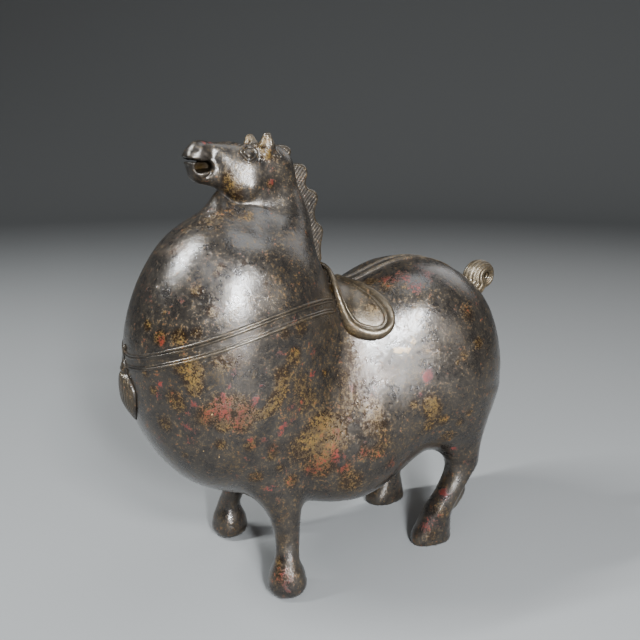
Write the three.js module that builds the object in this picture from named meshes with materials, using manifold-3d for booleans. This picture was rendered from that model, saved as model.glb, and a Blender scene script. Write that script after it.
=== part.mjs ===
// A small hollow-cast bronze horse: a very round chest and body on four short legs, a small raised head
// with an open mouth, a mane in four tufts, a saddle with a teardrop skirt on each side, a chest strap
// with a hanging tassel, a strap along the croup and a curled tail.
// Millimetres, +Z up. The horse faces -Y and its left side is +X. The origin is on the ground under
// the middle of its bounding box.
//
// The rounded forms are one smooth field of ellipsoids and tapered cones (negative inside, zero on the
// skin). Sphere, cylinder, lathe and torus grids are then moved onto that skin or swept along it.

import * as THREE from 'three';
import Module from 'manifold-3d';
import { mergeVertices } from 'three/addons/utils/BufferGeometryUtils.js';

// ---------------------------------------------------------------- driving dimensions (mm)
const Y0 = 3.76; // moves the modelling axis to the middle of the bounding box

// chest, belly, rump and haunches: centre y, centre z, half sizes x, y, z
const CHEST = { y: -53.75, z: 106.65, rx: 41.6, ry: 46.95, rz: 60.2 };
const BELLY = { y: -4.05, z: 59.3, rx: 39.1, ry: 35.1, rz: 27.75 };
const RUMP = { y: 40.35, z: 100.5, rx: 41.3, ry: 46.3, rz: 45.05 };
const HAUNCH = { x: 16.75, y: 51.5, z: 88.1, r: 21.3 };
const FULLNESS = 2.6; // cross sections a little squarer than an ellipse
const BLEND_BELLY = 32.6, BLEND_RUMP = 34, BLEND_HAUNCH = 28, BLEND_NECK = 32.1;

// neck: three stations y, z, radius, and its width against its depth by height
const NECK = [[-44.9, 145.9, 21.2], [-35.7, 164.3, 13.2], [-40.2, 183.45, 13.8]];
const NECK_WIDE_Z = [130, 150, 165, 185], NECK_WIDE = [0.95, 0.92, 0.77, 0.52];
// the throat is drawn in under the jaw and the cheeks by this much, in front and at the sides
const THROAT = [1.4, 3.3];

// head: skull, cheeks, nose bridge, upper lip, jaw and lower lip
const SKULL = { y: -37.0, z: 191.3, rx: 9.5, ry: 12.7, rz: 9.4 };
const CHEEK = { x: 5.3, y: -45.2, z: 185.3, rx: 7.0, ry: 10.4, rz: 10.4 };
const NOSE = [[-49.3, 194.8, 6.0], [-65.0, 198.3, 3.2]];
const UPPER_LIP = { y: -67.4, z: 196.5, rx: 5.6, ry: 3.7, rz: 2.3 };
const JAW = [[-49.8, 188.5, 8.3], [-63.4, 187.0, 2.5]];
const LOWER_LIP = { y: -67.3, z: 188.8, rx: 4.5, ry: 1.9, rz: 2.9 };
const BLEND_HEAD = 3.9, BLEND_LIP = 2.1, BLEND_JAWS = 9;
// where the head's rings stand, the height of their middles (y, z), and the two ends
const HEAD_RINGS = [-25.2, -27, -30, -33.5, -37, -40.5, -44, -47, -50, -52.5, -55, -57.5, -60, -62.4, -64.6, -66.4, -68, -69.4, -70.4];
const HEAD_MID = [[-24, 191], [-37, 189.5], [-50, 190], [-60, 192], [-66, 192.4], [-71, 196]];
const SKULL_END = [-24.4, 191.2], MUZZLE_END = [-71.1, 196.4];
// open mouth: its outline from the side (y, z), and the half width of the tongue left inside it
const MOUTH = [[-74, 195.4], [-68.5, 194.6], [-66.5, 194.3], [-64.6, 193.9], [-63, 193.1], [-62.3, 191.8],
  [-62.9, 190.5], [-64.5, 189.7], [-66.6, 189.5], [-68.2, 190.6], [-69.3, 191.5], [-74, 192.2]];
const TONGUE_HALF = 1.5, TONGUE_TIP = -66.5;

// legs: height, x, y and radius of each station, from the flat of the hoof up into the body
const FORE_LEG = {
  z: [0, 1.2, 3.5, 9, 17, 26, 37, 47, 56, 64],
  x: [30.1, 30.1, 30.1, 30.1, 30.1, 27.8, 27.0, 24.8, 21.0, 18.0],
  y: [-43.2, -43.2, -43.2, -43.2, -43.2, -41.5, -41.4, -42.6, -44.0, -45.0],
  r: [5.9, 7.5, 8.9, 8.6, 5.9, 5.8, 7.4, 10.8, 13.0, 12.5],
  stagger: 3.1, // the left foot stands this far behind its middle place, the right one before it
};
const HIND_LEG = {
  z: [0, 1.0, 3.5, 9, 17, 28, 40, 52, 64, 74, 82],
  x: [23.4, 23.4, 23.4, 23.9, 25.0, 26.4, 25.3, 23.8, 21.8, 20.0, 18.5],
  y: [45.6, 45.6, 45.6, 46.6, 48.8, 54.8, 60.4, 59.4, 57.4, 56.0, 55.0],
  r: [7.3, 7.7, 7.8, 7.5, 7.4, 6.9, 8.2, 12.4, 15.6, 16.6, 14.5],
  long: [1.52, 1.54, 1.52, 1.35, 1.2, 1.05, 1.0, 1.0, 1.0, 1.0, 1.0], // length of the section against its width
  stagger: -0.5,
};

const LEG_LEVELS = [0, 1.2, 3.5, 6, 9, 13, 17, 22, 28, 34, 40, 46, 52, 58, 64, 70, 76];

// ears: base centre, height, half widths, lean
const EAR = { x: 6.6, y: -36.6, z: 198.2, h: 7.3, rx: 2.8, ry: 3.8 };

// mane: outline in the mid plane (y, z), its four tufts on the back edge, and its thickness
const MANE_FOOT = [[-35, 190], [-29, 182], [-23.5, 172], [-19.5, 162], [-16, 152], [-10, 145]];
const MANE_TUFTS = [
  [[-31.5, 198.2], [-28.5, 199.8], [-25.2, 198.6], [-23.6, 196.2], [-24.4, 193.6]],
  [[-20.4, 191.6], [-17.6, 190.6], [-15.6, 188.0], [-16.0, 184.8]],
  [[-13.4, 180.8], [-11.0, 179.2], [-9.8, 176.2], [-10.6, 172.4]],
  [[-9.6, 166.0], [-7.6, 163.6], [-6.8, 160.2], [-7.8, 156.0]],
];
const MANE_HALF = 2.3;

// tail: a curl in the mid plane, middle of the curl, and radius of the tail from root to tip
const TAIL = { y: 89.4, z: 133.2, root: [74, 118], angles: [222, 180, 90, 0, -90, -135],
  sweep: [6.6, 5.6, 3.9, 3.4, 4.6, 5.2], half: [6.6, 5.4, 3.4, 2.6, 3.4, 3.2], across: [6.4, 5.8, 5.4, 4.6, 4.2, 3.6] };

// chest strap: height of its middle against y, width, and how far it stands proud
const STRAP_Y = [-101, -91, -77, -62, -45, -33, -22, -12];
const STRAP_Z = [112.4, 117.4, 122.6, 127.5, 131.7, 133.2, 132.8, 131.0];
const STRAP_W = 6.6, STRAP_RIDGE = 1.3, STRAP_BAND = 0.6;

// strap along the croup, from the saddle to the tail
const CROUP_W = 8.6, CROUP_PROUD = 1.0, CROUP_FROM = 4, CROUP_TO = 76;

// saddle: one rolled edge over the back and round the skirt on each side. The left half of its outline,
// as y and the angle from the spine, from the front edge round the foot of the skirt to the rear edge
const SKIRT_AXIS_Z = 95;
const SKIRT = [[-7.4, 4], [-8.4, 12], [-9.4, 20], [-9.8, 27.5], [-8.2, 36.5], [-5.8, 43.6], [-2.8, 48.2], [0.7, 51.6], [4.3, 53.8],
  [7.8, 53.8], [10.3, 52], [11.8, 49], [12.4, 45], [12.2, 40], [11, 33.5], [9.4, 26.5], [7.6, 20], [6.2, 12], [5.2, 4]];
const RIM_W = 2.2, RIM_PROUD = 1.9;

// tassel: its height on the chest from the cap to the tip, its half width, and how far it stands proud
const TASSEL_Z = [113.4, 112.2, 110, 107.4, 105.6, 103, 99.6, 95.5, 91, 87.5, 85, 84.3];
const TASSEL_HALF = [0.8, 2.4, 3.8, 5.0, 7.0, 9.8, 11.4, 10.8, 8.6, 5.4, 2.0, 0.6];
const TASSEL_PROUD = [0.3, 1.3, 2.0, 2.4, 2.6, 3.1, 3.4, 3.3, 2.6, 1.6, 0.7, 0.2];
const TASSEL_SUNK = 1.1;

// ---------------------------------------------------------------- the field
const { min, max, abs, sqrt, sin, cos, PI } = Math;
const ease = (a, b, v) => { const t = max(0, min(1, (v - a) / (b - a))); return t * t * (3 - 2 * t); };
const smin = (a, b, k) => { const h = max(k - abs(a - b), 0) / k; return min(a, b) - h * h * k * 0.25; };

// an ellipsoid whose section across the body is squarer by FULLNESS
function fullBody(x, y, z, c) {
  const n = FULLNESS, px = abs(x) / c.rx, py = (y - c.y) / c.ry, pz = abs(z - c.z) / c.rz;
  const s = max(px ** n + pz ** n, 1e-12), k = sqrt(max(s ** (2 / n) + py * py, 1e-12));
  const m = s ** (2 / n - 1) / k;
  return (k - 1) / max(Math.hypot(m * px ** (n - 1) / c.rx, py / c.ry / k, m * pz ** (n - 1) / c.rz), 1e-9);
}

function ellipsoid(x, y, z, c, cx = 0) {
  const px = x - cx, py = y - c.y, pz = z - c.z;
  const k0 = Math.hypot(px / c.rx, py / c.ry, pz / c.rz);
  const k1 = Math.hypot(px / c.rx ** 2, py / c.ry ** 2, pz / c.rz ** 2);
  return k0 * (k0 - 1) / max(k1, 1e-9);
}

// a cone with rounded ends in the mid plane, from station a to station b (y, z, radius)
function roundCone(x, y, z, a, b) {
  const by = b[0] - a[0], bz = b[1] - a[1], l2 = by * by + bz * bz, rr = a[2] - b[2];
  const a2 = l2 - rr * rr, il2 = 1 / l2;
  const py = y - a[0], pz = z - a[1];
  const t = py * by + pz * bz, u = t - l2;
  const qx = x * l2, qy = py * l2 - by * t, qz = pz * l2 - bz * t;
  const x2 = qx * qx + qy * qy + qz * qz, y2 = t * t * l2, z2 = u * u * l2;
  const k = Math.sign(rr) * rr * rr * x2;
  if (Math.sign(u) * a2 * z2 > k) return sqrt(x2 + z2) * il2 - b[2];
  if (Math.sign(t) * a2 * y2 < k) return sqrt(x2 + y2) * il2 - a[2];
  return (sqrt(x2 * a2 * il2) + t * rr) * il2 - a[2];
}

function trunk(x, y, z) {
  const ax = abs(x);
  const w = along(z, NECK_WIDE_Z, NECK_WIDE);
  let d = smin(fullBody(x, y, z, CHEST), w * roundCone(x / w, y, z, NECK[0], NECK[1]), BLEND_NECK);
  d = smin(d, w * roundCone(x / w, y, z, NECK[1], NECK[2]), BLEND_NECK * 0.5);
  d = smin(d, fullBody(x, y, z, BELLY), BLEND_BELLY);
  const haunch = { y: HAUNCH.y, z: HAUNCH.z, rx: HAUNCH.r, ry: HAUNCH.r, rz: HAUNCH.r };
  const r = smin(fullBody(x, y, z, RUMP), ellipsoid(ax, y, z, haunch, HAUNCH.x), BLEND_HAUNCH);
  d = smin(d, r, BLEND_RUMP);
  const drawn = THROAT[0] + (THROAT[1] - THROAT[0]) * ease(-60, -50, y);
  return d + drawn * ease(158, 176, z) * ease(-24, -40, y);
}
const skull = (x, y, z) => smin(ellipsoid(x, y, z, SKULL), ellipsoid(abs(x), y, z, CHEEK, CHEEK.x), BLEND_HEAD);
const upperJaw = (x, y, z) => smin(roundCone(x, y, z, NOSE[0], NOSE[1]), ellipsoid(x, y, z, UPPER_LIP), BLEND_LIP);
const lowerJaw = (x, y, z) => smin(roundCone(x, y, z, JAW[0], JAW[1]), ellipsoid(x, y, z, LOWER_LIP), BLEND_LIP);
function head(x, y, z) {
  return smin(skull(x, y, z), smin(upperJaw(x, y, z), lowerJaw(x, y, z), BLEND_JAWS), BLEND_HEAD);
}
const legShift = (leg, side, z) => side * leg.stagger * max(0, min(1, 1 - (z - 20) / 40));
// distance from a point inside, along a direction, to the skin
function cast(field, o, d, far = 200) {
  let t = 0, last = 0;
  for (let i = 0; i < 400; i++) {
    const s = field(o.x + d.x * t, o.y + d.y * t, o.z + d.z * t);
    if (s > 0) {
      let a = last, b = t;
      for (let j = 0; j < 30; j++) {
        const m = (a + b) / 2;
        if (field(o.x + d.x * m, o.y + d.y * m, o.z + d.z * m) > 0) b = m; else a = m;
      }
      return (a + b) / 2;
    }
    last = t;
    t += max(-s * 0.6, 0.05);
    if (t > far) return far;
  }
  return t;
}
function normalAt(field, p) {
  const e = 0.2;
  return new THREE.Vector3(
    field(p.x + e, p.y, p.z) - field(p.x - e, p.y, p.z),
    field(p.x, p.y + e, p.z) - field(p.x, p.y - e, p.z),
    field(p.x, p.y, p.z + e) - field(p.x, p.y, p.z - e)).normalize();
}
// smooth curve through (knot, value) pairs
function along(t, knots, values) {
  const n = knots.length;
  if (t <= knots[0]) return values[0];
  if (t >= knots[n - 1]) return values[n - 1];
  let i = 0;
  while (t > knots[i + 1]) i++;
  const slope = (k) => (values[k + 1] - values[k]) / (knots[k + 1] - knots[k]);
  const tangent = (k) => {
    if (k === 0) return slope(0);
    if (k === n - 1) return slope(n - 2);
    const a = knots[k] - knots[k - 1], b = knots[k + 1] - knots[k];
    return (slope(k) * a + slope(k - 1) * b) / (a + b);
  };
  const h = knots[i + 1] - knots[i], s = (t - knots[i]) / h;
  return (2 * s ** 3 - 3 * s ** 2 + 1) * values[i] + (s ** 3 - 2 * s ** 2 + s) * h * tangent(i)
    + (-2 * s ** 3 + 3 * s ** 2) * values[i + 1] + (s ** 3 - s ** 2) * h * tangent(i + 1);
}

// ---------------------------------------------------------------- solids
const wasm = await Module();
wasm.setup();

function signedVolume(pos, idx) {
  let v = 0;
  for (let i = 0; i < idx.length; i += 3) {
    const [a, b, c] = [idx[i] * 3, idx[i + 1] * 3, idx[i + 2] * 3];
    v += pos[a] * (pos[b + 1] * pos[c + 2] - pos[b + 2] * pos[c + 1])
      - pos[a + 1] * (pos[b] * pos[c + 2] - pos[b + 2] * pos[c])
      + pos[a + 2] * (pos[b] * pos[c + 1] - pos[b + 1] * pos[c]);
  }
  return v / 6;
}
function toSolid(geometry) {
  const g = geometry.clone();
  g.deleteAttribute('normal');
  g.deleteAttribute('uv');
  const m = mergeVertices(g, 1e-3);
  const pos = m.attributes.position.array;
  const idx = Array.from(m.index.array);
  const keep = [];
  for (let i = 0; i < idx.length; i += 3) {
    const [a, b, c] = [idx[i], idx[i + 1], idx[i + 2]];
    if (a !== b && b !== c && a !== c) keep.push(a, b, c);
  }
  if (signedVolume(pos, keep) < 0) for (let i = 0; i < keep.length; i += 3) [keep[i], keep[i + 1]] = [keep[i + 1], keep[i]];
  return new wasm.Manifold(new wasm.Mesh({
    numProp: 3, vertProperties: new Float32Array(pos), triVerts: new Uint32Array(keep),
  }));
}
// moves each vertex of a three.js grid by its uv place: place(u, v) gives the new point
function mapped(geometry, place) {
  const pos = geometry.attributes.position, uv = geometry.attributes.uv;
  for (let i = 0; i < pos.count; i++) {
    const p = place(uv.getX(i), uv.getY(i), new THREE.Vector3().fromBufferAttribute(pos, i));
    pos.setXYZ(i, p.x, p.y, p.z);
  }
  return geometry;
}

// the trunk and neck: rings that fan from the rump over the withers and up the neck into the head.
// each rib is a line in the mid plane from the back outline (y, z) to the front outline (y, z)
const RIBS = [
  [[84.5, 108], [84.5, 92]], [[79, 127], [79, 72]], [[69, 139], [69, 58]], [[56, 145], [57, 52]],
  [[42, 147], [44, 50]], [[28, 146], [31, 45]], [[16, 143], [19, 35]], [[7, 140], [4, 28]],
  [[1, 138], [-12, 25]], [[-4, 140], [-30, 25]], [[-7, 143], [-50, 32]], [[-9, 146], [-70, 43]],
  [[-10.5, 149], [-88, 64]], [[-12, 152], [-99, 88]], [[-13.5, 156], [-100, 112]], [[-15, 160], [-94, 136]],
  [[-17.5, 166], [-82, 156]], [[-20, 172], [-68, 168]], [[-22, 178], [-59, 177]], [[-24.5, 184], [-56, 183.5]],
  [[-27.5, 190], [-53.5, 189.5]], [[-32, 194.5], [-49, 194]],
];
const RINGS = 41, RING_SEGMENTS = 30;
const NECK_END = [-40.5, 196.6], RUMP_END_Z = 100;
// rings are spread by the run of both outlines
const RIB_PLACE = [0];
for (let i = 1; i < RIBS.length; i++) {
  const run = (j) => Math.hypot(RIBS[i][j][0] - RIBS[i - 1][j][0], RIBS[i][j][1] - RIBS[i - 1][j][1]);
  RIB_PLACE.push(RIB_PLACE[i - 1] + 2.5 + 0.35 * run(0) + 0.65 * run(1));
}
const RIB_RUN = RIB_PLACE[RIBS.length - 1];
RIB_PLACE.forEach((v, i) => { RIB_PLACE[i] = v / RIB_RUN; });
function ribAt(t) {
  const col = (a, b) => along(t, RIB_PLACE, RIBS.map((r) => r[a][b]));
  const D = new THREE.Vector3(0, col(0, 0), col(0, 1)), V = new THREE.Vector3(0, col(1, 0), col(1, 1));
  return { o: D.clone().lerp(V, 0.5), e: D.clone().sub(V).normalize() };
}
// a closed skin of rings cast from their middles onto the field, between two end points
function ringSkin(field, rings, ends, segments) {
  const rows = rings.length + 1;
  return mapped(new THREE.SphereGeometry(1, segments, rows), (u, v) => {
    const k = Math.round((1 - v) * rows);
    if (k === 0) return ends[0].clone();
    if (k === rows) return ends[1].clone();
    const { o, e } = rings[k - 1], a = (u % 1) * 2 * PI;
    const d = new THREE.Vector3(sin(a), e.y * cos(a), e.z * cos(a));
    return o.clone().addScaledVector(d, cast(field, o, d));
  });
}
function trunkSolid() {
  const rump = new THREE.Vector3(0, 40, RUMP_END_Z), back = new THREE.Vector3(0, 1, 0);
  const ends = [rump.clone().addScaledVector(back, cast(trunk, rump, back)), new THREE.Vector3(0, ...NECK_END)];
  const rings = [];
  for (let i = 0; i <= RINGS; i++) rings.push(ribAt(i / RINGS));
  return ringSkin(trunk, rings, ends, RING_SEGMENTS);
}
// the head: upright rings from the back of the skull to the tip of the nose
function headSolid() {
  const up = new THREE.Vector3(0, 0, 1);
  const rings = HEAD_RINGS.map((y) => ({ o: new THREE.Vector3(0, y, along(-y, HEAD_MID.map((p) => -p[0]), HEAD_MID.map((p) => p[1]))), e: up }));
  return ringSkin(head, rings, [new THREE.Vector3(0, ...SKULL_END), new THREE.Vector3(0, ...MUZZLE_END)], 24);
}
// the open mouth: three cutters that leave the tongue standing between the lips
function mouthCutters() {
  const s = new THREE.Shape(MOUTH.map((p) => new THREE.Vector2(...p)));
  const front = new THREE.Shape([[-76, 200], [TONGUE_TIP, 200], [TONGUE_TIP, 186], [-76, 186]].map((p) => new THREE.Vector2(...p)));
  const turn = new THREE.Matrix4().makeBasis(new THREE.Vector3(0, 1, 0), new THREE.Vector3(0, 0, 1), new THREE.Vector3(1, 0, 0));
  const slab = (shape, x0, x1) => new THREE.ExtrudeGeometry(shape, { depth: x1 - x0, bevelEnabled: false }).translate(0, 0, x0).applyMatrix4(turn);
  return { sides: [slab(s, TONGUE_HALF, 14), slab(s, -14, -TONGUE_HALF)], whole: slab(s, -14, 14), front: slab(front, -2.5, 2.5) };
}
// one leg: a lathe whose rings follow the leg's middle line and widen up into the body
function legSolid(leg, side) {
  const top = leg.z[leg.z.length - 1], steps = LEG_LEVELS.filter((z) => z < top - 2).concat(top);
  const profile = [new THREE.Vector2(0, 0), ...steps.map((z) => new THREE.Vector2(along(z, leg.z, leg.r), z)), new THREE.Vector2(0, top)];
  return mapped(new THREE.LatheGeometry(profile, 16), (u, v, p) => {
    const z = p.y, cx = side * along(z, leg.z, leg.x), cy = along(z, leg.z, leg.y) + legShift(leg, side, z);
    return new THREE.Vector3(cx + p.x, cy + p.z * (leg.long ? along(z, leg.z, leg.long) : 1), z);
  });
}
// a tapered limb along a path: path(t) and size(t) = [across, up], with rounded ends
function limb(path, size, across, rings, segments) {
  const frames = [];
  for (let i = 0; i <= rings; i++) {
    const t = i / rings, p = path(t);
    const q = path(min(t + 0.01, 1)).sub(path(max(t - 0.01, 0))).normalize();
    const side = across(t, p).clone().addScaledVector(q, -across(t, p).dot(q)).normalize();
    frames.push({ p, side, up: new THREE.Vector3().crossVectors(q, side).normalize(), s: size(t) });
  }
  return mapped(new THREE.SphereGeometry(1, segments, rings), (u, v) => {
    const k = Math.round((1 - v) * rings), f = frames[k];
    if (k === 0 || k === rings) return f.p.clone();
    const a = (u % 1) * 2 * PI;
    return f.p.clone().addScaledVector(f.side, cos(a) * f.s[0]).addScaledVector(f.up, sin(a) * f.s[1]);
  });
}
function earSolid(side) {
  const base = new THREE.Vector3(side * (EAR.x - 1.4), EAR.y, EAR.z - 4), tip = new THREE.Vector3(side * (EAR.x + 0.6), EAR.y + 0.2, EAR.z + EAR.h);
  const knots = [0, 0.1, 0.42, 0.66, 0.84, 0.95, 1], wide = [0.6, 0.9, 1.0, 0.85, 0.70, 0.48, 0.12];
  return limb((t) => base.clone().lerp(tip, t), (t) => { const w = along(t, knots, wide); return [EAR.rx * w, EAR.ry * w]; },
    () => new THREE.Vector3(1, 0, 0), 8, 10);
}
function maneSolid() {
  const s = new THREE.Shape();
  s.moveTo(...MANE_FOOT[0]);
  for (const p of MANE_FOOT.slice(1)) s.lineTo(...p);
  for (const tuft of [...MANE_TUFTS].reverse()) for (const p of [...tuft].reverse()) s.lineTo(...p);
  const b = 0.9;
  const g = new THREE.ExtrudeGeometry(s, { depth: 2 * (MANE_HALF - b), bevelEnabled: true, bevelSize: b, bevelOffset: -b, bevelThickness: b, bevelSegments: 1, steps: 1 });
  g.translate(0, 0, -(MANE_HALF - b));
  // the outline's plane (x, y) becomes the horse's mid plane (y, z)
  g.applyMatrix4(new THREE.Matrix4().makeBasis(new THREE.Vector3(0, 1, 0), new THREE.Vector3(0, 0, 1), new THREE.Vector3(1, 0, 0)));
  return g;
}
// the tail rises from the rump, turns over and back down, and its tip closes on the root
function tailSolid() {
  const n = TAIL.angles.length, k = TAIL.angles.map((_, i) => 0.2 + 0.8 * i / (n - 1));
  const on = (t) => {
    const a = along(t, k, TAIL.angles) / 180 * PI, r = along(t, k, TAIL.sweep);
    return new THREE.Vector3(0, TAIL.y + r * cos(a), TAIL.z + r * sin(a));
  };
  const root = new THREE.Vector3(0, ...TAIL.root);
  const path = (t) => (t < 0.2 ? root.clone().lerp(on(0.2), t / 0.2) : on(t));
  const size = (t) => {
    const end = t > 0.96 ? 0.6 : t < 0.03 ? 0.7 : 1;
    return [along(max(t, 0.2), k, TAIL.across) * end, along(max(t, 0.2), k, TAIL.half) * end];
  };
  return limb(path, size, () => new THREE.Vector3(1, 0, 0), 22, 12);
}

// the point of the skin at y, at an angle in degrees from the spine
function flank(y, degrees, side) {
  const a = degrees / 180 * PI;
  const o = new THREE.Vector3(0, y, SKIRT_AXIS_Z), d = new THREE.Vector3(side * sin(a), 0, cos(a));
  return o.addScaledVector(d, cast(trunk, o, d));
}
function saddleRim() {
  const left = SKIRT.map(([y, a]) => flank(y, a, 1)), right = SKIRT.map(([y, a]) => flank(y, a, -1)).reverse();
  const loop = new THREE.CatmullRomCurve3([...left, ...right], true, 'centripetal');
  const around = 58, section = 6;
  const at = (t) => {
    const p = loop.getPointAt((t + 1) % 1);
    for (let i = 0; i < 4; i++) p.addScaledVector(normalAt(trunk, p), -trunk(p.x, p.y, p.z));
    return p;
  };
  const frames = [];
  for (let i = 0; i < around; i++) {
    const t = i / around, p = at(t), q = at(t + 0.005).sub(at(t - 0.005)).normalize(), nn = normalAt(trunk, p);
    frames.push({ p, nn, w: new THREE.Vector3().crossVectors(q, nn).normalize() });
  }
  return mapped(new THREE.TorusGeometry(1, 0.3, section, around), (u, v) => {
    const f = frames[Math.round(u * around) % around], a = (Math.round(v * section) % section) / section * 2 * PI;
    return f.p.clone().addScaledVector(f.w, cos(a) * RIM_W).addScaledVector(f.nn, sin(a) * RIM_PROUD + 0.1);
  });
}

// a band that lies on the skin: middle line, how it lies, and its section as (across, proud) pairs
function band(line, acrossAt, section, stations) {
  const frames = [];
  for (let i = 0; i <= stations; i++) {
    const t = i / stations, p = line(t), nn = normalAt(trunk, p);
    const w = acrossAt(t, p, nn);
    frames.push({ p, nn, w });
  }
  const m = section.length;
  return mapped(new THREE.CylinderGeometry(1, 1, 1, m, stations), (u, v, q) => {
    const k = Math.round((1 - v) * stations);
    const onAxis = Math.hypot(q.x, q.z) < 1e-6; // the middle of an end cap
    const cap = abs(q.y) > 0.4999;
    const f = frames[cap ? (q.y > 0 ? 0 : stations) : k];
    if (onAxis) return f.p.clone().addScaledVector(f.nn, -0.6);
    const a = Math.atan2(q.x, q.z);
    const j = ((Math.round(a / (2 * PI) * m) % m) + m) % m;
    const [c, h] = section[j];
    let p = f.p.clone().addScaledVector(f.w, c);
    if (h > 0) for (let i = 0; i < 3; i++) p.addScaledVector(normalAt(trunk, p), -trunk(p.x, p.y, p.z));
    return p.addScaledVector(normalAt(trunk, p), h);
  });
}
function strapSolid() {
  // the middle line, from the left side round the chest to the right, by angle about the chest's axis
  const line = (t) => {
    const a = (t - 0.5) * 2 * 2.5; // 0 is the front
    const d = new THREE.Vector3(-sin(a), -cos(a), 0);
    let z = 120, p = null;
    for (let i = 0; i < 25; i++) {
      const o = new THREE.Vector3(0, -45, z);
      p = o.clone().addScaledVector(d, cast(trunk, o, d));
      z += 0.6 * (along(p.y, STRAP_Y, STRAP_Z) - z);
    }
    return p;
  };
  const across = (t, p, nn) => {
    const q = line(min(t + 0.004, 1)).sub(line(max(t - 0.004, 0))).normalize();
    return new THREE.Vector3().crossVectors(nn, q).normalize();
  };
  const w = STRAP_W / 2, r = STRAP_RIDGE, b = STRAP_BAND;
  const section = [[-w, -1.6], [-w, r * 0.6], [-w + 0.9, r], [-w + 1.7, b], [w - 1.7, b], [w - 0.9, r], [w, r * 0.6], [w, -1.6]];
  return band(line, across, section, 34);
}
function croupSolid() {
  const line = (t) => {
    const y = CROUP_FROM + (CROUP_TO - CROUP_FROM) * t;
    const o = new THREE.Vector3(0, y, 100), d = new THREE.Vector3(0, 0, 1);
    return o.addScaledVector(d, cast(trunk, o, d));
  };
  const w = CROUP_W / 2, h = CROUP_PROUD;
  const section = [[-w, -1.4], [-w + 0.4, h * 0.8], [-w + 1.2, h], [w - 1.2, h], [w - 0.4, h * 0.8], [w, -1.4]];
  return band(line, () => new THREE.Vector3(1, 0, 0), section, 18);
}
// a flat drop on the chest: rings across it, from the cap down to the tip
function tasselSolid() {
  const out = (z) => { const o = new THREE.Vector3(0, -50, z), d = new THREE.Vector3(0, -1, 0); return o.addScaledVector(d, cast(trunk, o, d)); };
  const n = TASSEL_Z.length - 1, places = TASSEL_Z.map((_, i) => i / n), sunk = new THREE.Vector3(0, TASSEL_SUNK, 0);
  const path = (t) => out(along(t, places, TASSEL_Z)).add(sunk);
  return limb(path, (t) => [along(t, places, TASSEL_HALF), along(t, places, TASSEL_PROUD) + TASSEL_SUNK],
    () => new THREE.Vector3(1, 0, 0), 22, 12);
}

// ---------------------------------------------------------------- the casting
const mouth = mouthCutters();
let face = toSolid(headSolid());
for (const side of mouth.sides) face = face.subtract(toSolid(side));
face = face.subtract(toSolid(mouth.whole).intersect(toSolid(mouth.front)));
let horse = toSolid(trunkSolid()).add(face);
const parts = [
  legSolid(FORE_LEG, 1), legSolid(FORE_LEG, -1), legSolid(HIND_LEG, 1), legSolid(HIND_LEG, -1),
  earSolid(1), earSolid(-1), maneSolid(), tailSolid(),
  saddleRim(), strapSolid(), croupSolid(), tasselSolid(),
];
for (const g of parts) horse = horse.add(toSolid(g));

const mesh = horse.getMesh();
const geometry = new THREE.BufferGeometry();
geometry.setAttribute('position', new THREE.BufferAttribute(new Float32Array(mesh.vertProperties), 3));
geometry.setIndex(new THREE.BufferAttribute(new Uint32Array(mesh.triVerts), 1));
geometry.translate(0, Y0, 0);
geometry.computeVertexNormals();

const bronze = new THREE.MeshStandardMaterial({ color: 0x3a322c, roughness: 0.38, metalness: 0.85 });
const casting = new THREE.Mesh(geometry, bronze);
casting.name = 'bronze_horse';

const group = new THREE.Group();
group.add(casting);
export default group;
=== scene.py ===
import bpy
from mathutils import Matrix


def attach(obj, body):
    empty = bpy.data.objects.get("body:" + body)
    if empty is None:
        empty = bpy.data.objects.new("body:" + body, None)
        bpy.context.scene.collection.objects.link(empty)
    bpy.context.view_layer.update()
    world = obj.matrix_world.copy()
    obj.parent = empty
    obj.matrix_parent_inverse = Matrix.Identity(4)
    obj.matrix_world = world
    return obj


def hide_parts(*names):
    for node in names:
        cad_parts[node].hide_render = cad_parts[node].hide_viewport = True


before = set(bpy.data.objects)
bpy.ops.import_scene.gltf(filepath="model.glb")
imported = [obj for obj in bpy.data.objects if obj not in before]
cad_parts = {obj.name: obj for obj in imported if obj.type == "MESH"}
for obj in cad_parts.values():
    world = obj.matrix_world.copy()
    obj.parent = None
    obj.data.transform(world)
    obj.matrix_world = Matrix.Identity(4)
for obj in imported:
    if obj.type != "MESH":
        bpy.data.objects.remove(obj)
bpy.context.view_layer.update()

import math

import bpy
import numpy as np
from mathutils import Matrix, Vector

# ---------------------------------------------------------------- the casting as one smooth field (mm)
# The field is negative inside the bronze. It is written about the modelling axis; Y0 moves it to the row frame.
Y0 = 3.76
A = np.array


def smin(a, b, k):
    h = np.maximum(k - np.abs(a - b), 0) / k
    return np.minimum(a, b) - h * h * k * 0.25


def smax(a, b, k):
    return -smin(-a, -b, k)


def step(e0, e1, x):
    t = np.clip((x - e0) / (e1 - e0), 0, 1)
    return t * t * (3 - 2 * t)


def ell(p, c, r, tilt=0.0, turn=0.0):
    # an ellipsoid; tilt turns it about X, turn about Z (radians)
    q = p - A(c, float)
    if tilt:
        cs, sn = np.cos(tilt), np.sin(tilt)
        q = np.stack([q[..., 0], q[..., 1] * cs + q[..., 2] * sn, -q[..., 1] * sn + q[..., 2] * cs], -1)
    if turn:
        cs, sn = np.cos(turn), np.sin(turn)
        q = np.stack([q[..., 0] * cs + q[..., 1] * sn, -q[..., 0] * sn + q[..., 1] * cs, q[..., 2]], -1)
    r = A(r, float)
    k0 = np.sqrt(((q / r) ** 2).sum(-1))
    k1 = np.sqrt(((q / (r * r)) ** 2).sum(-1))
    return k0 * (k0 - 1) / np.maximum(k1, 1e-9)


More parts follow.
